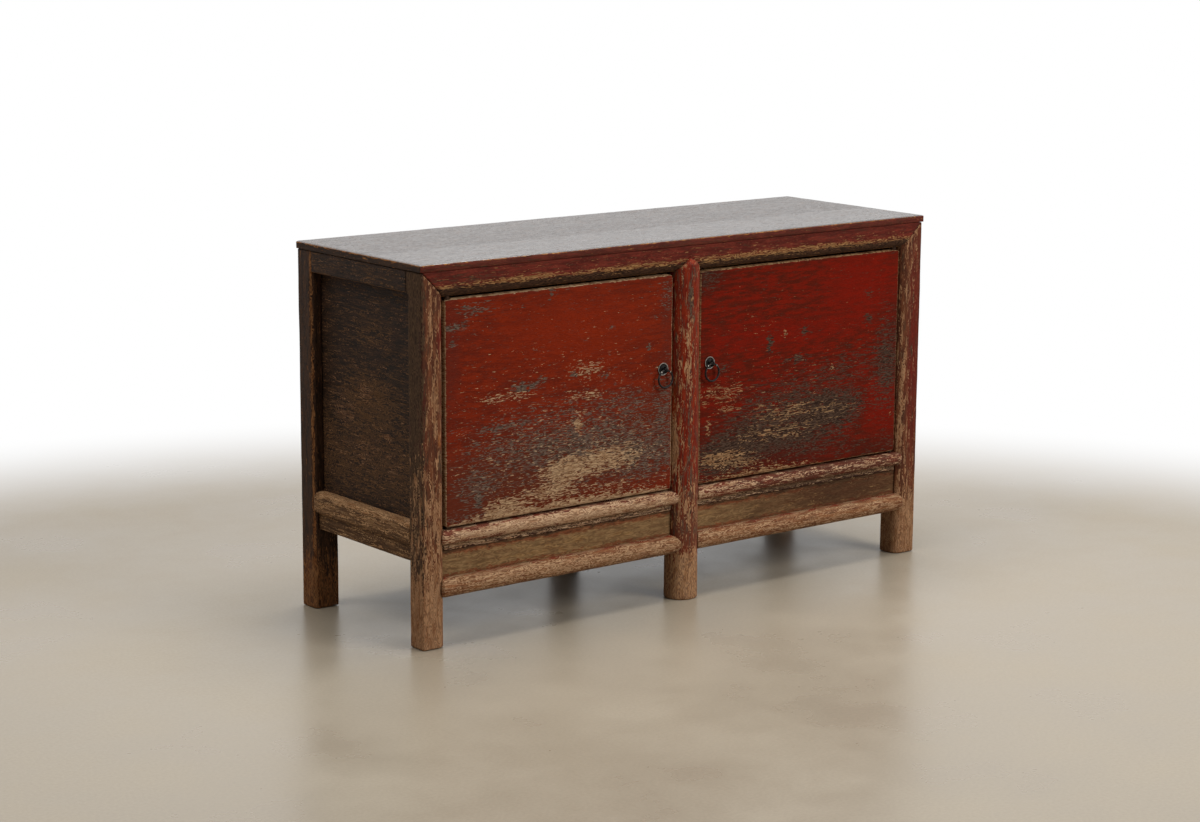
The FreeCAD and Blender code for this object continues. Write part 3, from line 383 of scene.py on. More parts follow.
# %% Ring worn thin where it hangs
def forged_ring(node):
    low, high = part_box(node)
    middle, wire = (low + high) / 2, (high.y - low.y) / 2
    radius = (high.x - low.x) / 2 - wire
    bpy.ops.mesh.primitive_torus_add(major_segments=64, minor_segments=14, major_radius=radius,
                                     minor_radius=wire * BAR_STOCK, location=middle,
                                     rotation=(math.pi / 2, 0, 0))
    ring = bpy.context.object
    ring.name = "forged_" + node
    only(ring)
    bpy.ops.object.transform_apply(location=True, rotation=True, scale=True)
    bpy.ops.object.mode_set(mode="EDIT")
    # the eye has filed the ring's highest point, deepest in the middle
    crown = Vector((middle.x, middle.y, high.z))
    for reach_mm, thinner_mm in ((9, 0.10), (6, 0.12), (3.5, 0.12)):
        pick(ring, lambda face: (crown - face.center).length < reach_mm / 1000)
        bpy.ops.transform.shrink_fatten(value=-thinner_mm / 1000)
    bpy.ops.object.mode_set(mode="OBJECT")
    hammered(ring, 0.35)
    settle(ring, node)
    return ring


# %% Eye, and both pulls
def forged_eye(node):
    eye = merged_copy("forged_" + node, node)
    cells = eye.modifiers.new("cells", "REMESH")
    cells.mode = "VOXEL"
    cells.voxel_size = 0.00035
    hammered(eye, 0.12, 0)
    settle(eye, node)
    return eye


for side in ("left", "right"):
    pull = side + "_pull_"
    made = [forged_plate(pull + "plate"), forged_ring(pull + "ring"), forged_eye(pull + "eye")]
    print([(piece.name, len(piece.data.polygons)) for piece in made])

# %% [markdown]
# ## Old pine
# Under every finish of this cabinet lies northern pine: pale early wood, darker late wood in rings a few
# millimetres apart, and fibres along the trunk. The rings are a wave pattern round the log's heart, which
# lies outside the board, so the face shows long arches. Both patterns are stretched along the piece.

# %% Coordinates along the grain, and pine
# a ring wave of scale 1 repeats every 314 mm
WAVE_MM = 314


def in_grain(tree, place, along, long_mm, across_mm, shift=0.0):
    """Coordinates in which one step is long_mm along the grain and across_mm across it.

    along is the grain's axis; for a flat board the axis of its thickness follows. In that direction the
    pattern hardly changes, so that a worn hollow doesn't cut through a dozen fibres and leave rings."""
    steps = [1000 / across_mm] * 3
    steps["xyz".index(along[0])] = 1000 / long_mm
    for thin in along[1:]:
        steps["xyz".index(thin)] = 100 / across_mm
    return add(tree, "Mapping", {"Vector": place, "Scale": steps, "Location": [shift] * 3})


def shaken(tree, place, noise, reach):
    """Coordinates pushed to and fro by a noise's colour, by reach metres for a full change of it."""
    push = add(tree, "VectorMath", {0: noise.outputs["Color"], 1: (0.5, 0.5, 0.5)}, operation="SUBTRACT")
    push = add(tree, "VectorMath", {0: push, "Scale": reach}, operation="SCALE")
    return add(tree, "VectorMath", {0: place, 1: push}, operation="ADD").outputs[0]


def pine(tree, place, along, early, late, ring_mm, shift):
    """Colour, height, fibres and rings of bare pine."""
    drift = add(tree, "TexNoise", {"Vector": in_grain(tree, place, along, 260, 60, shift), "Detail": 3})
    # the log's heart is moved away from the cabinet's middle line
    heart = {"x": (0, 0.05, -0.11), "y": (0, 0, 0.60), "z": (0.03, 0.06, 0)}[along[0]]
    # a wave's bends come from its own noise, which is stretched along the grain like everything else
    squash = [0.12 if axis == along[0] else 1 for axis in "xyz"]
    log = add(tree, "Mapping", {"Vector": place, "Location": heart, "Scale": squash})
    rings = add(tree, "TexWave", {"Vector": shaken(tree, log, drift, 0.055), "Distortion": 0.9,
                                  "Scale": WAVE_MM / ring_mm, "Detail": 2, "Detail Scale": 0.4},
                wave_type="RINGS", rings_direction=along[0].upper())
    # single fibres are far too fine to show, so bundles of them are drawn, 2.8 mm apart
    fibres = add(tree, "TexNoise", {"Vector": in_grain(tree, place, along, 200, 2.8, shift), "Detail": 2,
                                    "Roughness": 0.5})
    height = add(tree, "Mix", {0: 0.5, 2: rings, 3: fibres}, data_type="FLOAT")
    share = add(tree, "MapRange", {"Value": height.outputs[0], "From Min": 0.34, "From Max": 0.64},
                interpolation_type="SMOOTHSTEP")
    colour = add(tree, "Mix", {0: share, 6: linear(late), 7: linear(early)}, data_type="RGBA")
    # hands and smoke leave a reddish brown grime in long clouds
    grime = add(tree, "TexNoise", {"Vector": in_grain(tree, place, along, 150, 22, shift + 5.5), "Detail": 4,
                                   "Roughness": 0.65})
    grime = add(tree, "MapRange", {"Value": grime, "From Min": 0.42, "From Max": 0.66, "To Max": 0.75},
                interpolation_type="SMOOTHSTEP")
    colour = add(tree, "Mix", {0: grime, 6: colour.outputs[2], 7: linear("#c6a995")}, data_type="RGBA",
                 blend_type="MULTIPLY")
    return colour.outputs[2], height.outputs[0], fibres.outputs[0], rings.outputs["Fac"]


# %% [markdown]
# ## Where a piece is worn, and where light is painted
# Wear isn't even. Hands polish the edges by the pulls, feet and brooms rub the bottom, damp lifts the lacquer
# in patches. On a few pieces some places are painted darker as shade, and some paler as a highlight. Each
# such place is written as a soft oval: its middle and its three half-widths in metres, and how strong it is.
# A half-width of 0 means that the oval runs on without end in that direction, which makes a band.

# %% Add up soft ovals
def painted_light_and_wear_ovals(tree, place, spots):
    """How far a place is worn, and how strongly painted shade and highlights mark it: the sum of the ovals
    that reach it.
    """
    total = None
    for x, y, z, wide, deep, high, strength in spots:
        steps = [1 / half if half else 0 for half in (wide, deep, high)]
        middle = [-c * s for c, s in zip((x, y, z), steps)]
        local = add(tree, "Mapping", {"Vector": place, "Scale": steps, "Location": middle})
        away = add(tree, "VectorMath", {0: local}, operation="LENGTH")
        oval = add(tree, "MapRange", {"Value": away.outputs["Value"], "From Min": 1, "From Max": 0.15,
                                      "To Max": strength}, interpolation_type="SMOOTHSTEP")
        total = oval if total is None else add(tree, "Math", {0: total, 1: oval}, operation="ADD")
    return total if total is not None else 0.0


# %% [markdown]
# ## Layers of an old lacquered surface
# The surface is built as the joiner built it, and worn down as use wore it. At the bottom is pine, over it a
# smoky dark ground of pig's blood and lime, on top a coat of pigmented lacquer. Two masks say how far the
# wear has gone: one opens the coat down to the ground, one opens both down to the wood. Each mask is noise
# stretched along the grain plus the ovals, cut off sharply, since lacquer flakes with a hard edge. Where an
# oval paints shade or a highlight, the masks carry painted light as well as wear.

# %% How far the wear has gone, and the painted light
# how much the long streaks count in a level of wear, and how far above the level's mean a mask opens
STREAK_SHARE, OPENS_ABOVE = 1.3, 0.33


def wear_and_painted_light_level(tree, place, along, rings, worn, shift, flake_mm, fleck_mm, fleck_share, grain_share):
    """The ovals of wear and of painted shade and highlights, with long streaks and short flecks laid over
    them, and the flecks alone.
    """
    streaks = add(tree, "TexNoise", {"Vector": in_grain(tree, place, along, *flake_mm, shift), "Detail": 4,
                                     "Roughness": 0.58})
    # real flecks are under a millimetre wide; they are drawn over 2 mm wide, so that the picture shows them
    flecks = add(tree, "TexNoise", {"Vector": in_grain(tree, place, along, *fleck_mm, shift + 1.7),
                                    "Detail": 1.5, "Roughness": 0.5})
    level = add(tree, "Math", {0: streaks, 1: STREAK_SHARE, 2: worn}, operation="MULTIPLY_ADD")
    level = add(tree, "Math", {0: flecks, 1: fleck_share, 2: level}, operation="MULTIPLY_ADD")
    # raised grain is rubbed bare first
    level = add(tree, "Math", {0: rings, 1: grain_share, 2: level}, operation="MULTIPLY_ADD")
    return level, flecks


# %% Colour of the coat
def coat_colour(tree, place, loose, along, height, coat, tints, grain_print, shift):
    """Two tones of lacquer in clouds, tinted in places, with the grain printed through as darker lines."""
    clouds = add(tree, "TexNoise", {"Vector": in_grain(tree, place, along, 220, 40, shift), "Detail": 6,
                                    "Roughness": 0.62})
    clouds = add(tree, "MapRange", {"Value": clouds, "From Min": 0.40, "From Max": 0.60},
                 interpolation_type="SMOOTHSTEP")
    tone = add(tree, "Mix", {0: clouds, 6: linear(coat[0]), 7: linear(coat[1])}, data_type="RGBA").outputs[2]
    for code, spots in tints:
        share = add(tree, "Math", {0: painted_light_and_wear_ovals(tree, loose, spots), 1: 1.0}, operation="MINIMUM")
        tone = add(tree, "Mix", {0: share, 6: tone, 7: linear(code)}, data_type="RGBA").outputs[2]
    print_through = add(tree, "MapRange", {"Value": height, "From Min": 0.3, "From Max": 0.7,
                                           "To Min": 1 - grain_print, "To Max": 1 + 0.6 * grain_print})
    return add(tree, "Mix", {0: 1.0, 6: tone, 7: print_through}, data_type="RGBA",
               blend_type="MULTIPLY").outputs[2]


# %% A layered finish
def lacquered(name, along, coat, ground, wood, open_coat, open_wood, spots_dark=(), spots_pale=(), edges=(),
              tints=(), ring_mm=5.0, coat_rough=0.45, shift=0.0, relief_mm=0.5, sheen=0.06,
              flake_mm=(220, 18), fleck_mm=(160, 6), fleck_share=0.7, grain_share=0.2, grain_print=0.25,
              hard=0.08, wander_mm=6, chip_height=0.75):
    """Pine, dark ground and lacquer as one material.

    coat, ground and wood are two colours each. open_coat and open_wood say how worn the piece is all over,
    spots_dark and spots_pale where it is worn to the ground and to the wood, and on some pieces where painted
    shade darkens it and a painted highlight lightens it, and edges which sharp edges are bare. tints colour
    the coat in places. flake_mm and fleck_mm are lengths along the grain and across it."""
    material = bpy.data.materials.new(name)
    material.use_nodes = True
    tree = material.node_tree
    surface = tree.nodes["Principled BSDF"]
    place = add(tree, "TexCoord").outputs["Object"]
    bare, height, fibres, rings = pine(tree, place, along, wood[0], wood[1], ring_mm, shift)

    # outlines of worn places wander by some millimetres
    wander = add(tree, "TexNoise", {"Vector": in_grain(tree, place, along, 90, 30, shift), "Detail": 5,
                                    "Roughness": 0.65})
    # a noise strays by about 0.18 to either side, so this reach moves them by wander_mm
    loose = shaken(tree, place, wander, wander_mm / 180)

    pattern = (flake_mm, fleck_mm, fleck_share, grain_share)
    dark_level, _ = wear_and_painted_light_level(tree, place, along, rings, painted_light_and_wear_ovals(tree, loose, spots_dark), shift + 3.1,
                               *pattern)
    pale_level, flecks = wear_and_painted_light_level(tree, place, along, rings, painted_light_and_wear_ovals(tree, loose, spots_pale),
                                    shift + 7.7, *pattern)
    if edges:
        pale_level = add(tree, "Math", {0: pale_level, 1: painted_light_and_wear_ovals(tree, place, edges)}, operation="ADD")
    # a level's mean is half of its shares; a mask opens above it, and sooner on a piece that is worn all over
    mean = (STREAK_SHARE + fleck_share + grain_share) / 2
    masks = []
    for level, opening in ((dark_level, open_coat), (pale_level, open_wood)):
        opens_at = mean + OPENS_ABOVE - opening
        masks.append(add(tree, "MapRange", {"Value": level, "From Min": opens_at,
                                            "From Max": opens_at + hard}, interpolation_type="SMOOTHSTEP"))
    dark_mask, pale_mask = masks
    # before it opens, the coat is thin and lets the ground show
    thin = add(tree, "MapRange", {"Value": dark_level, "From Min": mean - open_coat,
                                  "From Max": mean + 0.42 - open_coat, "To Max": 0.35},
               interpolation_type="SMOOTHSTEP")

    coat_tone = coat_colour(tree, place, loose, along, height, coat, tints, grain_print, shift)
    ground_share = add(tree, "MapRange", {"Value": height, "From Min": 0.3, "From Max": 0.7})
    ground_tone = add(tree, "Mix", {0: ground_share, 6: linear(ground[0]), 7: linear(ground[1])},
                      data_type="RGBA").outputs[2]
    colour = add(tree, "Mix", {0: thin, 6: coat_tone, 7: linear(ground[0])}, data_type="RGBA").outputs[2]
    colour = add(tree, "Mix", {0: dark_mask, 6: colour, 7: ground_tone}, data_type="RGBA").outputs[2]
    colour = add(tree, "Mix", {0: pale_mask, 6: colour, 7: bare}, data_type="RGBA").outputs[2]
    tree.links.new(colour, surface.inputs["Base Color"])

    worn = add(tree, "Math", {0: dark_mask, 1: pale_mask}, operation="MAXIMUM")
    rough = add(tree, "MapRange", {"Value": worn, "To Min": coat_rough, "To Max": 0.72})
    rough = add(tree, "Math", {0: fibres, 1: 0.16, 2: rough}, operation="MULTIPLY_ADD")
    tree.links.new(rough.outputs[0], surface.inputs["Roughness"])
    surface.inputs["Specular IOR Level"].default_value = sheen

    # the relief reads the grain and the pale mask's flecks alone: all the ovals would make it too large
    chips = add(tree, "MapRange", {"Value": flecks, "From Min": 0.52, "From Max": 0.60, "To Min": 1.0,
                                   "To Max": chip_height}, interpolation_type="SMOOTHSTEP")
    skin = add(tree, "Math", {0: height, 1: 0.6, 2: chips}, operation="MULTIPLY_ADD")
    relief = add(tree, "Bump", {"Height": skin, "Distance": relief_mm / 1000, "Strength": 0.8})
    tree.links.new(relief.outputs[0], surface.inputs["Normal"])
    print(name, "nodes", len(tree.nodes))
    return material


def dress(material, *nodes):
    """Gives the pieces that stand for these CAD nodes one material."""
    for node in nodes:
        shell = shown[node].data
        shell.materials.clear()
        shell.materials.append(material)


# %% [markdown]
# ## The doors
# Each door is two pine boards with the grain level, lacquered red. Its upper half is well kept, with the
# grain lines printed through. Its lower half is rubbed down to the grey ground, and to bare wood where feet
# and brooms touched it. A thin tan line runs round each door, where its edge has lost all its colour.

# %% Places on a door
# a door's hinge edge and free edge from the cabinet's middle, and its lower and upper edge, in metres
hinge_x, free_x, low_z, high_z = 0.5895, 0.0355, 0.230, 0.668


def on_door(side, spots):
    """Turns shares of a door's width and height, from its left lower corner, into places in metres."""
    left = -hinge_x if side == "left" else free_x
    wide, high = hinge_x - free_x, high_z - low_z
    return [(left + u * wide, 0, low_z + v * high, du * wide, 0, dv * high, s)
            for u, v, du, dv, s in spots]


def door_rim(side):
    """The line along a door's four edges that has lost its colour, and its edges' back half, never coated."""
    left, right = (-hinge_x, -free_x) if side == "left" else (free_x, hinge_x)
    rim, strength = 0.0042, 0.9
    return [(left, 0, 0, rim, 0, 0, strength), (right, 0, 0, rim, 0, 0, strength),
            (0, 0, low_z, 0, 0, rim, strength), (0, 0, high_z, 0, 0, rim, strength),
            (0, -0.170, 0, 0, 0.026, 0, 1.2)]


# %% Worn places of the doors
left_dark = on_door("left", [
    (0.12, 0.945, 0.12, 0.035, 0.4), (0.04, 0.875, 0.09, 0.022, 0.6), (0.03, 0.81, 0.03, 0.02, 0.5),
    (0.45, 0.98, 0.018, 0.035, 0.6), (0.33, 0.925, 0.012, 0.015, 0.6), (0.97, 0.90, 0.05, 0.16, 0.24),
    (0.89, 0.672, 0.016, 0.02, 0.6), (0.92, 0.81, 0.01, 0.015, 0.5), (0.71, 0.79, 0.02, 0.01, 0.5),
    (0.335, 0.578, 0.09, 0.028, 0.75), (0.41, 0.60, 0.025, 0.025, 0.6), (0.545, 0.60, 0.018, 0.022, 0.65),
    (0.69, 0.582, 0.018, 0.018, 0.65), (0.615, 0.61, 0.008, 0.06, 0.4), (0.25, 0.41, 0.22, 0.016, 0.3),
    (0.97, 0.45, 0.08, 0.34, 0.22), (0.80, 0.45, 0.22, 0.10, 0.16), (0.45, 0.50, 0.6, 0.12, 0.10),
    (0.50, 0.34, 0.80, 0.20, 0.26), (0.60, 0.20, 0.80, 0.24, 0.24), (0.12, 0.16, 0.16, 0.10, 0.26),
    (0.14, 0.10, 0.022, 0.045, 0.8), (0.88, 0.16, 0.26, 0.16, 0.20), (0.10, 0.03, 0.2, 0.08, 0.24)])
left_pale = on_door("left", [
    (0.66, 0.18, 0.26, 0.10, 0.24), (0.50, 0.16, 0.13, 0.10, 0.36), (0.78, 0.20, 0.3, 0.10, 0.14),
    (0.24, 0.05, 0.14, 0.06, 0.5), (0.50, 0.008, 0.75, 0.035, 0.95), (0.42, 0.08, 0.22, 0.06, 0.32),
    (0.75, 0.06, 0.4, 0.05, 0.22), (0.57, 0.37, 0.02, 0.06, 0.4), (0.5, 0.12, 0.7, 0.12, 0.08),
    (0.58, 0.425, 0.05, 0.010, 0.45), (0.24, 0.545, 0.18, 0.035, 0.26), (0.61, 0.62, 0.12, 0.06, 0.24),
    (0.60, 0.50, 0.16, 0.03, 0.24), (0.50, 0.58, 0.8, 0.28, 0.09), (0.5, 0.28, 0.8, 0.24, 0.18)])
right_dark = on_door("right", [
    (0.03, 0.96, 0.12, 0.10, 0.35), (0.34, 0.62, 0.022, 0.075, 0.9), (0.47, 0.53, 0.10, 0.025, 0.55),
    (0.95, 0.45, 0.12, 0.45, 0.36), (0.84, 0.68, 0.03, 0.03, 0.5), (0.84, 0.80, 0.04, 0.03, 0.35),
    (0.52, 0.66, 0.05, 0.02, 0.6), (0.42, 0.21, 0.56, 0.22, 0.56), (0.70, 0.27, 0.24, 0.12, 0.40),
    (0.55, 0.40, 0.6, 0.12, 0.26), (0.10, 0.10, 0.28, 0.14, 0.5), (0.75, 0.50, 0.3, 0.10, 0.2),
    (0.12, 0.53, 0.08, 0.04, 0.35), (0.80, 0.05, 0.4, 0.10, 0.2)])
right_pale = on_door("right", [
    (0.44, 0.28, 0.34, 0.06, 0.27), (0.38, 0.19, 0.42, 0.07, 0.30), (0.12, 0.11, 0.26, 0.06, 0.46),
    (0.20, 0.06, 0.35, 0.04, 0.3), (0.10, 0.42, 0.20, 0.08, 0.28), (0.14, 0.34, 0.12, 0.03, 0.3),
    (0.045, 0.26, 0.012, 0.05, 0.7), (0.66, 0.47, 0.016, 0.014, 0.9), (0.42, 0.66, 0.012, 0.014, 0.9),
    (0.97, 0.19, 0.008, 0.008, 1.3), (0.30, 0.335, 0.05, 0.014, 0.6), (0.30, 0.010, 0.5, 0.028, 0.6),
    (0.25, 0.72, 0.25, 0.10, 0.12), (0.7, 0.25, 0.2, 0.06, 0.2), (0.4, 0.40, 0.7, 0.25, 0.10)])
print("worn places", len(left_dark + left_pale), "left,", len(right_dark + right_pale), "right")

# %% Door lacquer
# cinnabar red in old lacquer: deep and warm where it is thick, orange brown and dull where it has thinned
left_door_lacquer = lacquered(
    "worn red lacquer on pine, left door", "xy", ("#631f0f", "#78240d"), ("#3c2f27", "#66554a"),
    ("#ad9170", "#80634a"), 0.02, -0.025, left_dark, left_pale, door_rim("left"),
    flake_mm=(90, 12), fleck_mm=(50, 7), fleck_share=0.8, grain_share=0.16, grain_print=0.12, hard=0.05,
    wander_mm=9, sheen=0.03, chip_height=0.85,
    tints=[("#5c2717", on_door("left", [(0.30, 0.10, 0.9, 0.36, 0.95), (0.9, 0.30, 0.3, 0.30, 0.5)])),
           ("#5f2216", on_door("left", [(0.02, 0.80, 0.07, 0.5, 0.7), (0.98, 0.75, 0.05, 0.5, 0.6)])),
           ("#7c240c", on_door("left", [(0.55, 0.80, 0.5, 0.25, 0.8)]))])
# the same coat, handled more: darker, browner and open further up
right_door_lacquer = lacquered(
    "worn red lacquer on pine, right door", "xy", ("#521a0e", "#71190b"), ("#2c1f19", "#4e3c31"),
    ("#9c7b58", "#6a4e38"), 0.01, -0.065, right_dark, right_pale, door_rim("right"), shift=11.3,
    flake_mm=(130, 12), fleck_mm=(80, 8), fleck_share=0.8, grain_share=0.22, grain_print=0.12, hard=0.05,
    wander_mm=9, sheen=0.02, chip_height=0.85,
    tints=[("#4a1a0f", on_door("right", [(0.03, 0.97, 0.16, 0.10, 0.9), (0.9, 0.02, 0.3, 0.16, 0.8)])),
           ("#471c13", on_door("right", [(0.30, 0.10, 0.6, 0.25, 0.8), (1.0, 0.5, 0.10, 0.6, 0.6)])),
           ("#76160a", on_door("right", [(0.8, 0.85, 0.3, 0.3, 0.7), (0.4, 0.66, 0.5, 0.10, 0.6),
                                         (0.95, 0.25, 0.2, 0.25, 0.7)]))])
dress(left_door_lacquer, "left_door_lower_board", "left_door_upper_board")
dress(right_door_lacquer, "right_door_lower_board", "right_door_upper_board")

# %% [markdown]
# ## The frame round the doors
# Rails and posts were lacquered the same red, but they stand out and are touched most. On the top rail the
# flat upper part keeps its dark red, the rounding below is brown and painted darker as shade where it faces
# down, and where the two meet a tan line runs along: rubbed wood with a painted highlight. The posts are a
# mottle of brown, tan and dark red flakes along their grain, and their feet are bare and brown.

# %% Top rail, middle post, corner posts
# dark red lacquer that hands haven't reached, with a satin sheen above and a brown rounding below that is
# painted darker as shade where it faces down
top_rail_lacquer = lacquered(
    "dark red lacquer on the top rail", "x", ("#541d14", "#6c2a1e"), ("#2a1c14", "#4a3325"),
    ("#9a744a", "#63442b"), 0.06, 0.05,
    # the first dark band is painted shade on the rounding that faces down
    [(0, 0, 0.677, 0, 0, 0.018, 1.2), (0, 0, 0.71, 0, 0, 0.03, 0.08), (-0.55, 0, 0.70, 0.12, 0, 0.02, 0.2)],
    # the pale bands near 0.69 m along the crest are rubbed wood with a painted highlight
    [(0, 0, 0.693, 0, 0, 0.008, 0.20), (0.25, 0, 0.690, 0.45, 0, 0.014, 0.16),
     (-0.42, 0, 0.694, 0.12, 0, 0.009, 0.3), (-0.15, 0, 0.692, 0.16, 0, 0.009, 0.22),
     (0, 0, 0.70, 0, 0, 0.03, 0.06)],
    [(0, 0, 0.6725, 0, 0, 0.0024, 0.5)],
    shift=2.1, flake_mm=(160, 12), fleck_mm=(110, 5), wander_mm=2.5)
# red left in the hollows of the grain, tan wood on the round ridge
middle_post_lacquer = lacquered(
    "worn red lacquer on the middle post", "z", ("#6a1d10", "#842a14"), ("#3c2c24", "#5f4a3b"),
    ("#ab845f", "#7d5d47"), 0.20, 0.14,
    [(0, -0.18, 0.20, 0.1, 0.08, 0.12, 0.16), (-0.006, -0.22, 0.62, 0.008, 0, 0.05, 0.5),
     (-0.006, -0.22, 0.30, 0.008, 0, 0.3, 0.16)],
    [(0.0, 0, 0.03, 0.1, 0, 0.10, 0.9), (-0.024, 0, 0.35, 0.010, 0, 0.3, 0.16),
     (-0.010, 0, 0.50, 0.010, 0, 0.13, 0.3), (-0.031, 0, 0.32, 0.006, 0, 0.09, 0.6),
     (0.026, 0, 0.5, 0.004, 0, 0.4, 0.3), (0, 0, 0.19, 0.05, 0, 0.07, 0.2)],
    [(-0.022, 0, 0.686, 0.012, 0, 0.016, 0.3), (0.022, 0, 0.684, 0.010, 0, 0.016, 0.3)],
    shift=5.2, ring_mm=4, flake_mm=(140, 24), fleck_mm=(120, 9), wander_mm=2.5, grain_print=0.2,
    tints=[("#8a3a14", [(0.022, 0, 0.5, 0.008, 0, 0.25, 0.7), (-0.03, 0, 0.4, 0.004, 0, 0.1, 0.6)]),
           ("#6a3a28", [(0, 0, 0.14, 0.1, 0, 0.10, 0.9)])])
# brown from handling, with long flakes of red and a nearly black outer ridge
corner_post_lacquer = lacquered(
    "brown and red lacquer on the corner posts", "z", ("#4f2c1e", "#6c3f29"), ("#30231b", "#54402f"),
    ("#a07a59", "#7a5a42"), 0.14, 0.24,
    [(-0.650, 0, 0, 0.018, 0, 0, 0.3), (-0.604, -0.207, 0.36, 0.008, 0, 0.035, 0.9),
     (-0.648, -0.17, 0, 0.008, 0.05, 0, 0.2)],
    [(-0.654, 0, 0.64, 0.022, 0, 0.34, -0.6), (0, 0, 0.02, 0, 0, 0.16, 0.6),
     (-0.62, 0, 0.20, 0.05, 0, 0.2, 0.14), (-0.598, 0, 0.65, 0.012, 0, 0.022, 0.6),
     (-0.628, 0, 0.62, 0.008, 0, 0.05, 0.3), (-0.618, 0, 0.48, 0.008, 0, 0.11, 0.3),
     (0.64, 0, 0.45, 0.03, 0, 0.4, -0.12), (0.602, 0, 0.3, 0.006, 0, 0.2, 0.3)],
    [(sign * (0.597 + 0.0105 * i), -0.207, 0.675 + 0.0098 * i, 0.006, 0.006, 0.006, 0.45)
     for sign in (-1, 1) for i in range(5)],
    tints=[("#641d14", [(-0.603, 0, 0.60, 0.014, 0, 0.07, 0.9), (0.632, 0, 0.45, 0.030, 0, 0.4, 0.9),
                        (-0.60, 0, 0.44, 0.006, 0, 0.06, 0.7), (-0.645, 0, 0.45, 0.01, 0, 0.2, 0.5)]),
           ("#94552a", [(-0.607, 0, 0.405, 0.007, 0, 0.02, 1.0)]),
           ("#241811", [(-0.654, 0, 0.6, 0.020, 0, 0.46, 0.9)])],
    shift=8.4, ring_mm=4, flake_mm=(200, 34), fleck_mm=(180, 11), wander_mm=4)
dress(top_rail_lacquer, "front_top_rail")
dress(middle_post_lacquer, "front_middle_post")
dress(corner_post_lacquer, "front_left_post", "front_right_post")

# %% [markdown]
# ## The rubbed rails under the doors
# The sill rails and the bottom rails carry almost no lacquer any more. The wood has turned a pinkish tan grey
# and is polished along its highest line; red is left only where the round face turns under. Below the sill's
# round face, its lower edge and the undercut are painted dark as shade.

# %% Sill rails, bottom rails and recessed panels
# pine polished by hands to a pinkish tan, with brown red in the turned-under part; its lower edge and the
# undercut below it are painted dark as shade
sill_wood = lacquered(
    "rubbed pine with red remains, sill rails", "xy", ("#5f3324", "#723424"), ("#48362c", "#6f5743"),
    ("#b99a7a", "#8b6c52"), 0.16, 0.34,
    # the dark band at the foot of the round face is painted shade where it turns under
    [(0, 0, 0.196, 0, 0, 0.008, 0.6)],
    [(-0.31, -0.213, 0.214, 0.42, 0.016, 0.016, 0.4), (0.3, -0.213, 0.217, 0.5, 0.008, 0.008, 0.14),
     (0.38, 0, 0.21, 0.38, 0, 0, -0.16)],
    tints=[("#4e2b1f", [(0.38, 0, 0.21, 0.38, 0, 0, 0.7)]),
           # a near-black band in the undercut below the round face: painted shade
           ("#2c1b14", [(0, -0.197, 0.19, 0, 0.006, 0.010, 0.9)])],
    shift=1.7, ring_mm=4, coat_rough=0.5, flake_mm=(140, 16), fleck_mm=(110, 5), wander_mm=2)
# the same wood lower down, browner from feet and brooms
low_rail_wood = lacquered(
    "rubbed pine, bottom rails", "xy", ("#6b4029", "#8a5c3c"), ("#50392b", "#75573f"),
    ("#a88868", "#79593f"), 0.14, 0.36,
    [(0, 0, 0.1, 0, 0, 0.014, 0.2)],
    [(-0.3, -0.217, 0.12, 0.4, 0.016, 0.022, 0.14)],
    tints=[("#7a2418", [(0, 0, 0.136, 0, 0, 0.004, 0.8)])], shift=4.9, ring_mm=4, coat_rough=0.55,
    flake_mm=(220, 14), fleck_mm=(180, 5), wander_mm=2)
# thin ochre wash that hands don't reach: even, soft and dull
recess_wood = lacquered(
    "ochre brown pine, recessed panels", "x", ("#74573a", "#876a48"), ("#3a281b", "#503a28"),
    ("#97774f", "#846642"), 0.02, 0.20,
    # the dark band along the top of the panel, under the sill rail, is painted shade
    [(0, 0, 0.187, 0, 0, 0.012, 0.6), (0.45, 0, 0.16, 0.25, 0, 0.04, 0.3),
     (0.20, 0, 0.15, 0.05, 0, 0.05, 0.3)],
    [(-0.3, 0, 0.15, 0.3, 0, 0.03, 0.2)], shift=6.6, ring_mm=6, coat_rough=0.6, flake_mm=(220, 30),
    fleck_mm=(200, 7), fleck_share=0.5, hard=0.3,
    tints=[("#7a3a22", [(0, 0, 0.180, 0, 0, 0.007, 0.7), (0, 0, 0.137, 0, 0, 0.004, 0.7)]),
           ("#4a2a1c", [(0.45, 0, 0.16, 0.4, 0, 0.05, 0.8)])])
dress(sill_wood, "left_sill_rail", "right_sill_rail")
dress(low_rail_wood, "left_bottom_rail", "right_bottom_rail")
dress(recess_wood, "left_front_panel", "right_front_panel")

# %% [markdown]
# ## The dark sides, the back posts and the top
# The sides were coated nearly black and are hardly touched. The growth rings show as fine raised brown lines.
# The top has the same dark coat, rubbed by cloths to a satin that mirrors the room, in streaks along the
# grain. Its back plank is reached less often, so it is duller than the front one.

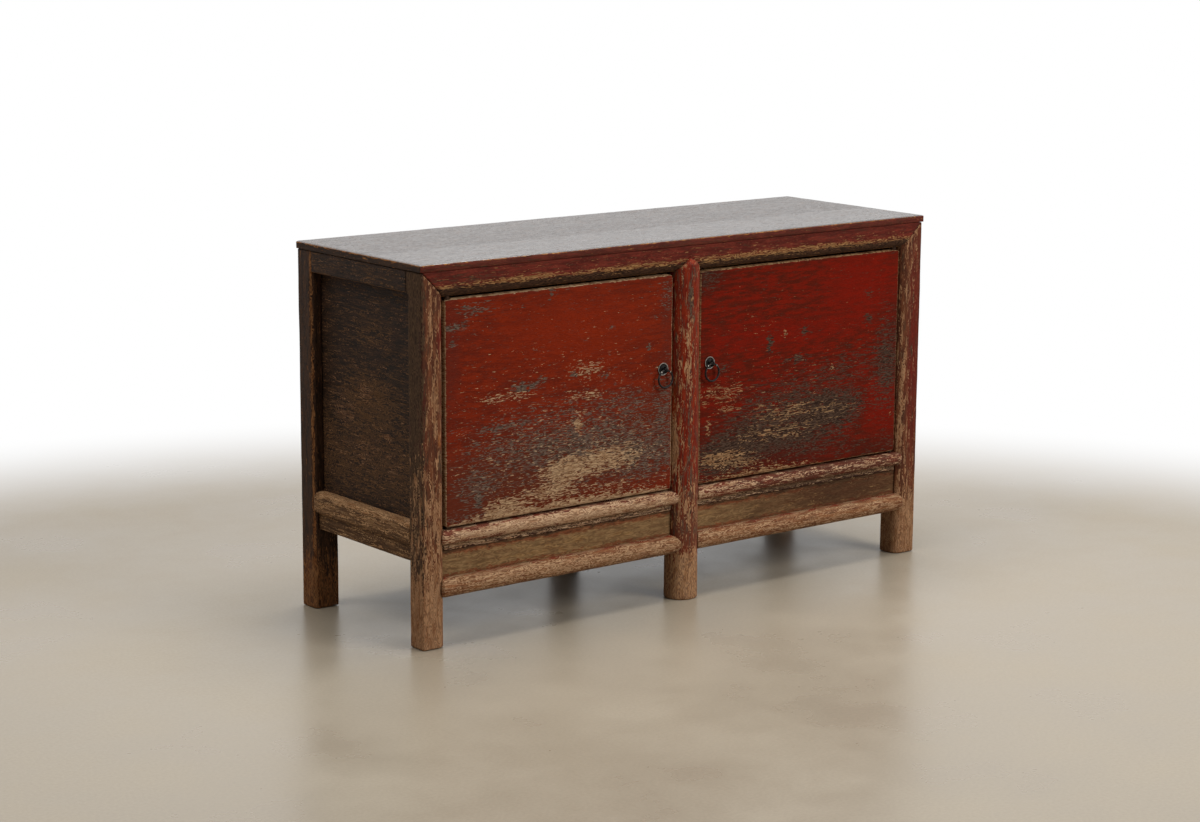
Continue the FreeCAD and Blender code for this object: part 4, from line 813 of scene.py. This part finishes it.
# %% Sides
# a smoked dark coat over strong grain: nearly black, with raised brown lines
side_lacquer = lacquered(
    "near black lacquer on the sides", "yx", ("#1e1611", "#302118"), ("#432f20", "#624730"),
    ("#86644a", "#553b28"), 0.12, 0.02,
    [(0, 0, 0.33, 0, 0, 0.12, 0.22), (0, 0.0, 0.45, 0, 0.16, 0.08, 0.34), (0, 0, 0.58, 0, 0.1, 0.05, 0.12)],
    [(0, 0.02, 0.46, 0, 0.035, 0.035, 0.34), (0, 0.10, 0.42, 0, 0.06, 0.05, 0.26),
     (0, 0, 0.34, 0, 0.2, 0.05, 0.16), (0, -0.055, 0.385, 0, 0.020, 0.010, 0.8),
     (0, -0.035, 0.395, 0, 0.003, 0.012, 1.3)],
    [(0, 0, 0.6805, 0, 0, 0.0022, 0.9)],
    shift=3.3, ring_mm=4, relief_mm=0.8, flake_mm=(200, 22), fleck_mm=(200, 5), fleck_share=0.5,
    grain_share=0.4, grain_print=0.35)
# the same coat on the back posts, open along their grain and bare at the feet
back_post_lacquer = lacquered(
    "dark lacquer on the back posts", "z", ("#271b14", "#3d291d"), ("#3a2a1f", "#50392a"),
    ("#8a5f3c", "#563b25"), 0.18, 0.06,
    [(0, 0, 0.10, 0, 0, 0.16, 0.14)],
    [(0, 0, 0.0, 0, 0, 0.18, 0.5), (0, 0.178, 0, 0.0, 0.006, 0, 0.2)],
    [(-0.6475, 0.174, 0, 0.006, 0.005, 0, 0.5), (0.6475, 0.174, 0, 0.006, 0.005, 0, 0.5)],
    tints=[("#5a2c1c", [(-0.64, 0.2, 0.08, 0.1, 0.02, 0.05, 0.8)])], shift=9.1, ring_mm=4,
    flake_mm=(160, 18), fleck_mm=(150, 6), wander_mm=3)
# pine stained brown, and pale along the highest line: rubbed wood with a painted highlight
side_rail_wood = lacquered(
    "brown rubbed pine, lower side rails", "y", ("#523a27", "#6e5036"), ("#312319", "#4c3727"),
    ("#ad8862", "#74563b"), 0.16, 0.20,
    [(0, 0, 0.165, 0, 0, 0.03, 0.2)],
    # the pale band along the top edge is rubbed wood with a painted highlight
    [(0, 0, 0.240, 0, 0, 0.010, 0.4), (0, 0, 0.22, 0, 0, 0.03, 0.12)], shift=0.9, ring_mm=4, wander_mm=3,
    flake_mm=(220, 18), fleck_mm=(200, 5), fleck_share=0.6, grain_share=0.3)
dress(side_lacquer, "left_side_top_rail", "right_side_top_rail", "left_side_lower_board",
      "left_side_upper_board", "right_side_lower_board", "right_side_upper_board")
dress(back_post_lacquer, "back_left_post", "back_right_post")
dress(side_rail_wood, "left_side_lower_rail", "right_side_lower_rail", "left_side_apron", "right_side_apron")

# %% Top planks
# the clear gloss that cloths have given each plank, and how much their streaks change it
STREAK_POLISH = 0.09
for plank, shift, polish in (("front_top_plank", 7.3, 0.25), ("back_top_plank", 21.3, 0.125)):
    top_lacquer = lacquered(
        "satin dark lacquer on the " + plank.replace("_", " "), "xz", ("#2c231f", "#40342e"),
        ("#17110e", "#261c17"), ("#5d4a3c", "#43342a"), 0.24, 0.02,
        [(0, 0.0, 0.74, 0, 0.1, 0, 0.06)], [],
        [(-0.649, 0, 0.7375, 0.003, 0, 0.002, 0.4)], shift=shift, ring_mm=6, coat_rough=0.21,
        relief_mm=0.7, sheen=1.0, flake_mm=(240, 12), fleck_mm=(260, 8), grain_share=0.5, chip_height=0.8)
    tree = top_lacquer.node_tree
    surface = tree.nodes["Principled BSDF"]
    place = add(tree, "TexCoord").outputs["Object"]
    rubbed = add(tree, "TexNoise", {"Vector": in_grain(tree, place, "xz", 500, 16, shift + 1.3), "Detail": 4,
                                    "Roughness": 0.6})
    rubbed = add(tree, "MapRange", {"Value": rubbed, "From Min": 0.38, "From Max": 0.62,
                                    "To Min": polish - STREAK_POLISH, "To Max": polish + STREAK_POLISH})
    tree.links.new(rubbed.outputs[0], surface.inputs["Coat Weight"])
    surface.inputs["Coat Roughness"].default_value = 0.16
    dress(top_lacquer, plank)

# %% Edges of the top
# the front edge was red like the doors and has darkened; the ends are brown with a rubbed upper arris
front_edge_lacquer = lacquered(
    "dark red lacquer on the top's front edge", "x", ("#54231a", "#662d22"), ("#2a1c14", "#4a3325"),
    ("#a5733f", "#70482a"), 0.20, 0.04, (), [(0, 0, 0.7375, 0, 0, 0.0034, 0.5)], shift=2.9,
    flake_mm=(160, 8), fleck_mm=(120, 5), wander_mm=2)
end_edge_lacquer = lacquered(
    "dark lacquer on the top's ends", "y", ("#2a1d15", "#3b291d"), ("#2a1f17", "#3c2c20"),
    ("#a06c3e", "#6c4828"), 0.10, 0.10, (), [(0, 0, 0.7375, 0, 0, 0.0042, 0.8)], shift=5.9,
    flake_mm=(160, 8), fleck_mm=(120, 5), wander_mm=2)
# a face belongs to an edge if it looks that way and lies near enough to it, in metres
FACING, FRONT_Y, END_X = 0.55, -0.2, 0.64
for plank in top:
    plank.data.materials.append(front_edge_lacquer)
    plank.data.materials.append(end_edge_lacquer)
    for face in plank.data.polygons:
        if face.normal.y < -FACING and face.center.y < FRONT_Y:
            face.material_index = 1
        elif abs(face.normal.x) > FACING and abs(face.center.x) > END_X:
            face.material_index = 2
print("edge faces", sum(face.material_index > 0 for plank in top for face in plank.data.polygons))

# %% [markdown]
# ## Bare pine inside and at the back
# Nobody lacquered what nobody saw. The inside, the back, the battens and the pivots are plain pine, grown
# brown with age and dust. The grain follows each piece's length, so there is one finish for each direction.
# The backs of the doors, the inner faces of the sides and the underside of the top were left bare too. Those
# are worn boards, so each has a finish whose pattern hardly changes through the board's thickness.

# %% Inside pine
inside = {}
for along, shift in (("x", 12.0), ("y", 14.0), ("z", 16.0), ("xy", 18.0), ("yx", 20.0), ("xz", 22.0)):
    # old pine with no coat: matte, honey brown, with soft rings
    inside[along] = lacquered(
        "aged bare pine, grain along " + along, along, ("#6f5238", "#7d5f42"), ("#4f3a28", "#654b34"),
        ("#93734f", "#6d5137"), 0.03, 0.16, shift=shift, coat_rough=0.62, relief_mm=0.4,
        hard=0.3, fleck_share=0.5, chip_height=1.0)
for node, slot in slots.items():
    if slot == "bare_wood":
        low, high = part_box(node)
        size = list(high - low)
        # the floor boards and the back boards are laid lengthwise, whatever their outline
        lengthwise = any(board in node for board in ("floor_board", "back_lower_board", "back_upper_board"))
        along = "x" if lengthwise else "xyz"[size.index(max(size))]
        # the pivots are dark with the grease that keeps them quiet
        dress(back_post_lacquer if "pivot" in node else inside[along], node)


def leave_bare(node, material, inward):
    """The faces that look into the case get a slot of their own with bare pine."""
    shell = shown[node].data
    shell.materials.append(material)
    low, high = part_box(node)
    bare = 0
    for face in shell.polygons:
        if face.normal.dot(inward) > 0.7 and (face.center - (low + high) / 2).dot(inward) > 0:
            face.material_index = len(shell.materials) - 1
            bare += 1
    return bare


for side, sign in (("left", 1), ("right", -1)):
    for board in ("lower_board", "upper_board"):
        print(side, board, leave_bare(side + "_door_" + board, inside["xy"], Vector((0, 1, 0))),
              leave_bare(side + "_side_" + board, inside["yx"], Vector((sign, 0, 0))))
for plank in ("front_top_plank", "back_top_plank"):
    print(plank, leave_bare(plank, inside["xz"], Vector((0, 0, -1))))

# %% [markdown]
# ## Forged iron
# The pulls were hammered from bar and wire and blackened with oil. Iron is a metal, so its colour is its
# reflection; the black scale on it is not quite a metal any more, which is why it is only partly metallic.

# %% Iron
iron = bpy.data.materials.new("blackened forged iron")
iron.use_nodes = True
tree = iron.node_tree
surface = tree.nodes["Principled BSDF"]
place = add(tree, "TexCoord").outputs["Object"]
# 1000 over a scale is the size in millimetres: pits of 2.4 mm, grime in patches of 7 mm
pits = add(tree, "TexNoise", {"Vector": place, "Scale": 420, "Detail": 3})
grime = add(tree, "TexNoise", {"Vector": place, "Scale": 150, "Detail": 5, "Roughness": 0.7})
rusty = add(tree, "MapRange", {"Value": grime, "From Min": 0.52, "From Max": 0.68},
            interpolation_type="SMOOTHSTEP")
tone = add(tree, "Mix", {0: rusty, 6: linear("#1f1d1c"), 7: linear("#382a21")}, data_type="RGBA")
# the plates' rims, 10.5 to 13.2 mm from their middles, are painted pale: iron rubbed bright with a painted
# highlight;
# both plates are found at once from the distance to the middle plane
apart = add(tree, "SeparateXYZ", {0: place})
mirrored = add(tree, "Math", {0: apart.outputs["X"]}, operation="ABSOLUTE")
flat = add(tree, "CombineXYZ", {"X": mirrored, "Z": apart.outputs["Z"]})
plate_low, plate_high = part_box("right_pull_plate")
plate_middle = (plate_low + plate_high) / 2
from_middle = add(tree, "VectorMath", {0: flat, 1: (plate_middle.x, 0, plate_middle.z)}, operation="DISTANCE")
rim = add(tree, "MapRange", {"Value": from_middle.outputs["Value"], "From Min": 0.0105, "From Max": 0.0118},
          interpolation_type="SMOOTHSTEP")
rim_end = add(tree, "MapRange", {"Value": from_middle.outputs["Value"], "From Min": 0.0132,
                                 "From Max": 0.0128}, interpolation_type="SMOOTHSTEP")
rim = add(tree, "Math", {0: rim, 1: rim_end}, operation="MULTIPLY")
tone = add(tree, "Mix", {0: rim, 6: tone.outputs[2], 7: linear("#8d8880")}, data_type="RGBA")
tree.links.new(tone.outputs[2], surface.inputs["Base Color"])
metal = add(tree, "MapRange", {"Value": rusty, "To Min": 0.85, "To Max": 0.25})
tree.links.new(metal.outputs[0], surface.inputs["Metallic"])
rough = add(tree, "MapRange", {"Value": grime, "From Min": 0.3, "From Max": 0.7, "To Min": 0.38,
                               "To Max": 0.66})
tree.links.new(rough.outputs[0], surface.inputs["Roughness"])
relief = add(tree, "Bump", {"Height": pits, "Distance": 0.0005, "Strength": 0.7})
tree.links.new(relief.outputs[0], surface.inputs["Normal"])
dress(iron, *[node for node, slot in slots.items() if slot == "iron"])
print("iron nodes", len(tree.nodes))
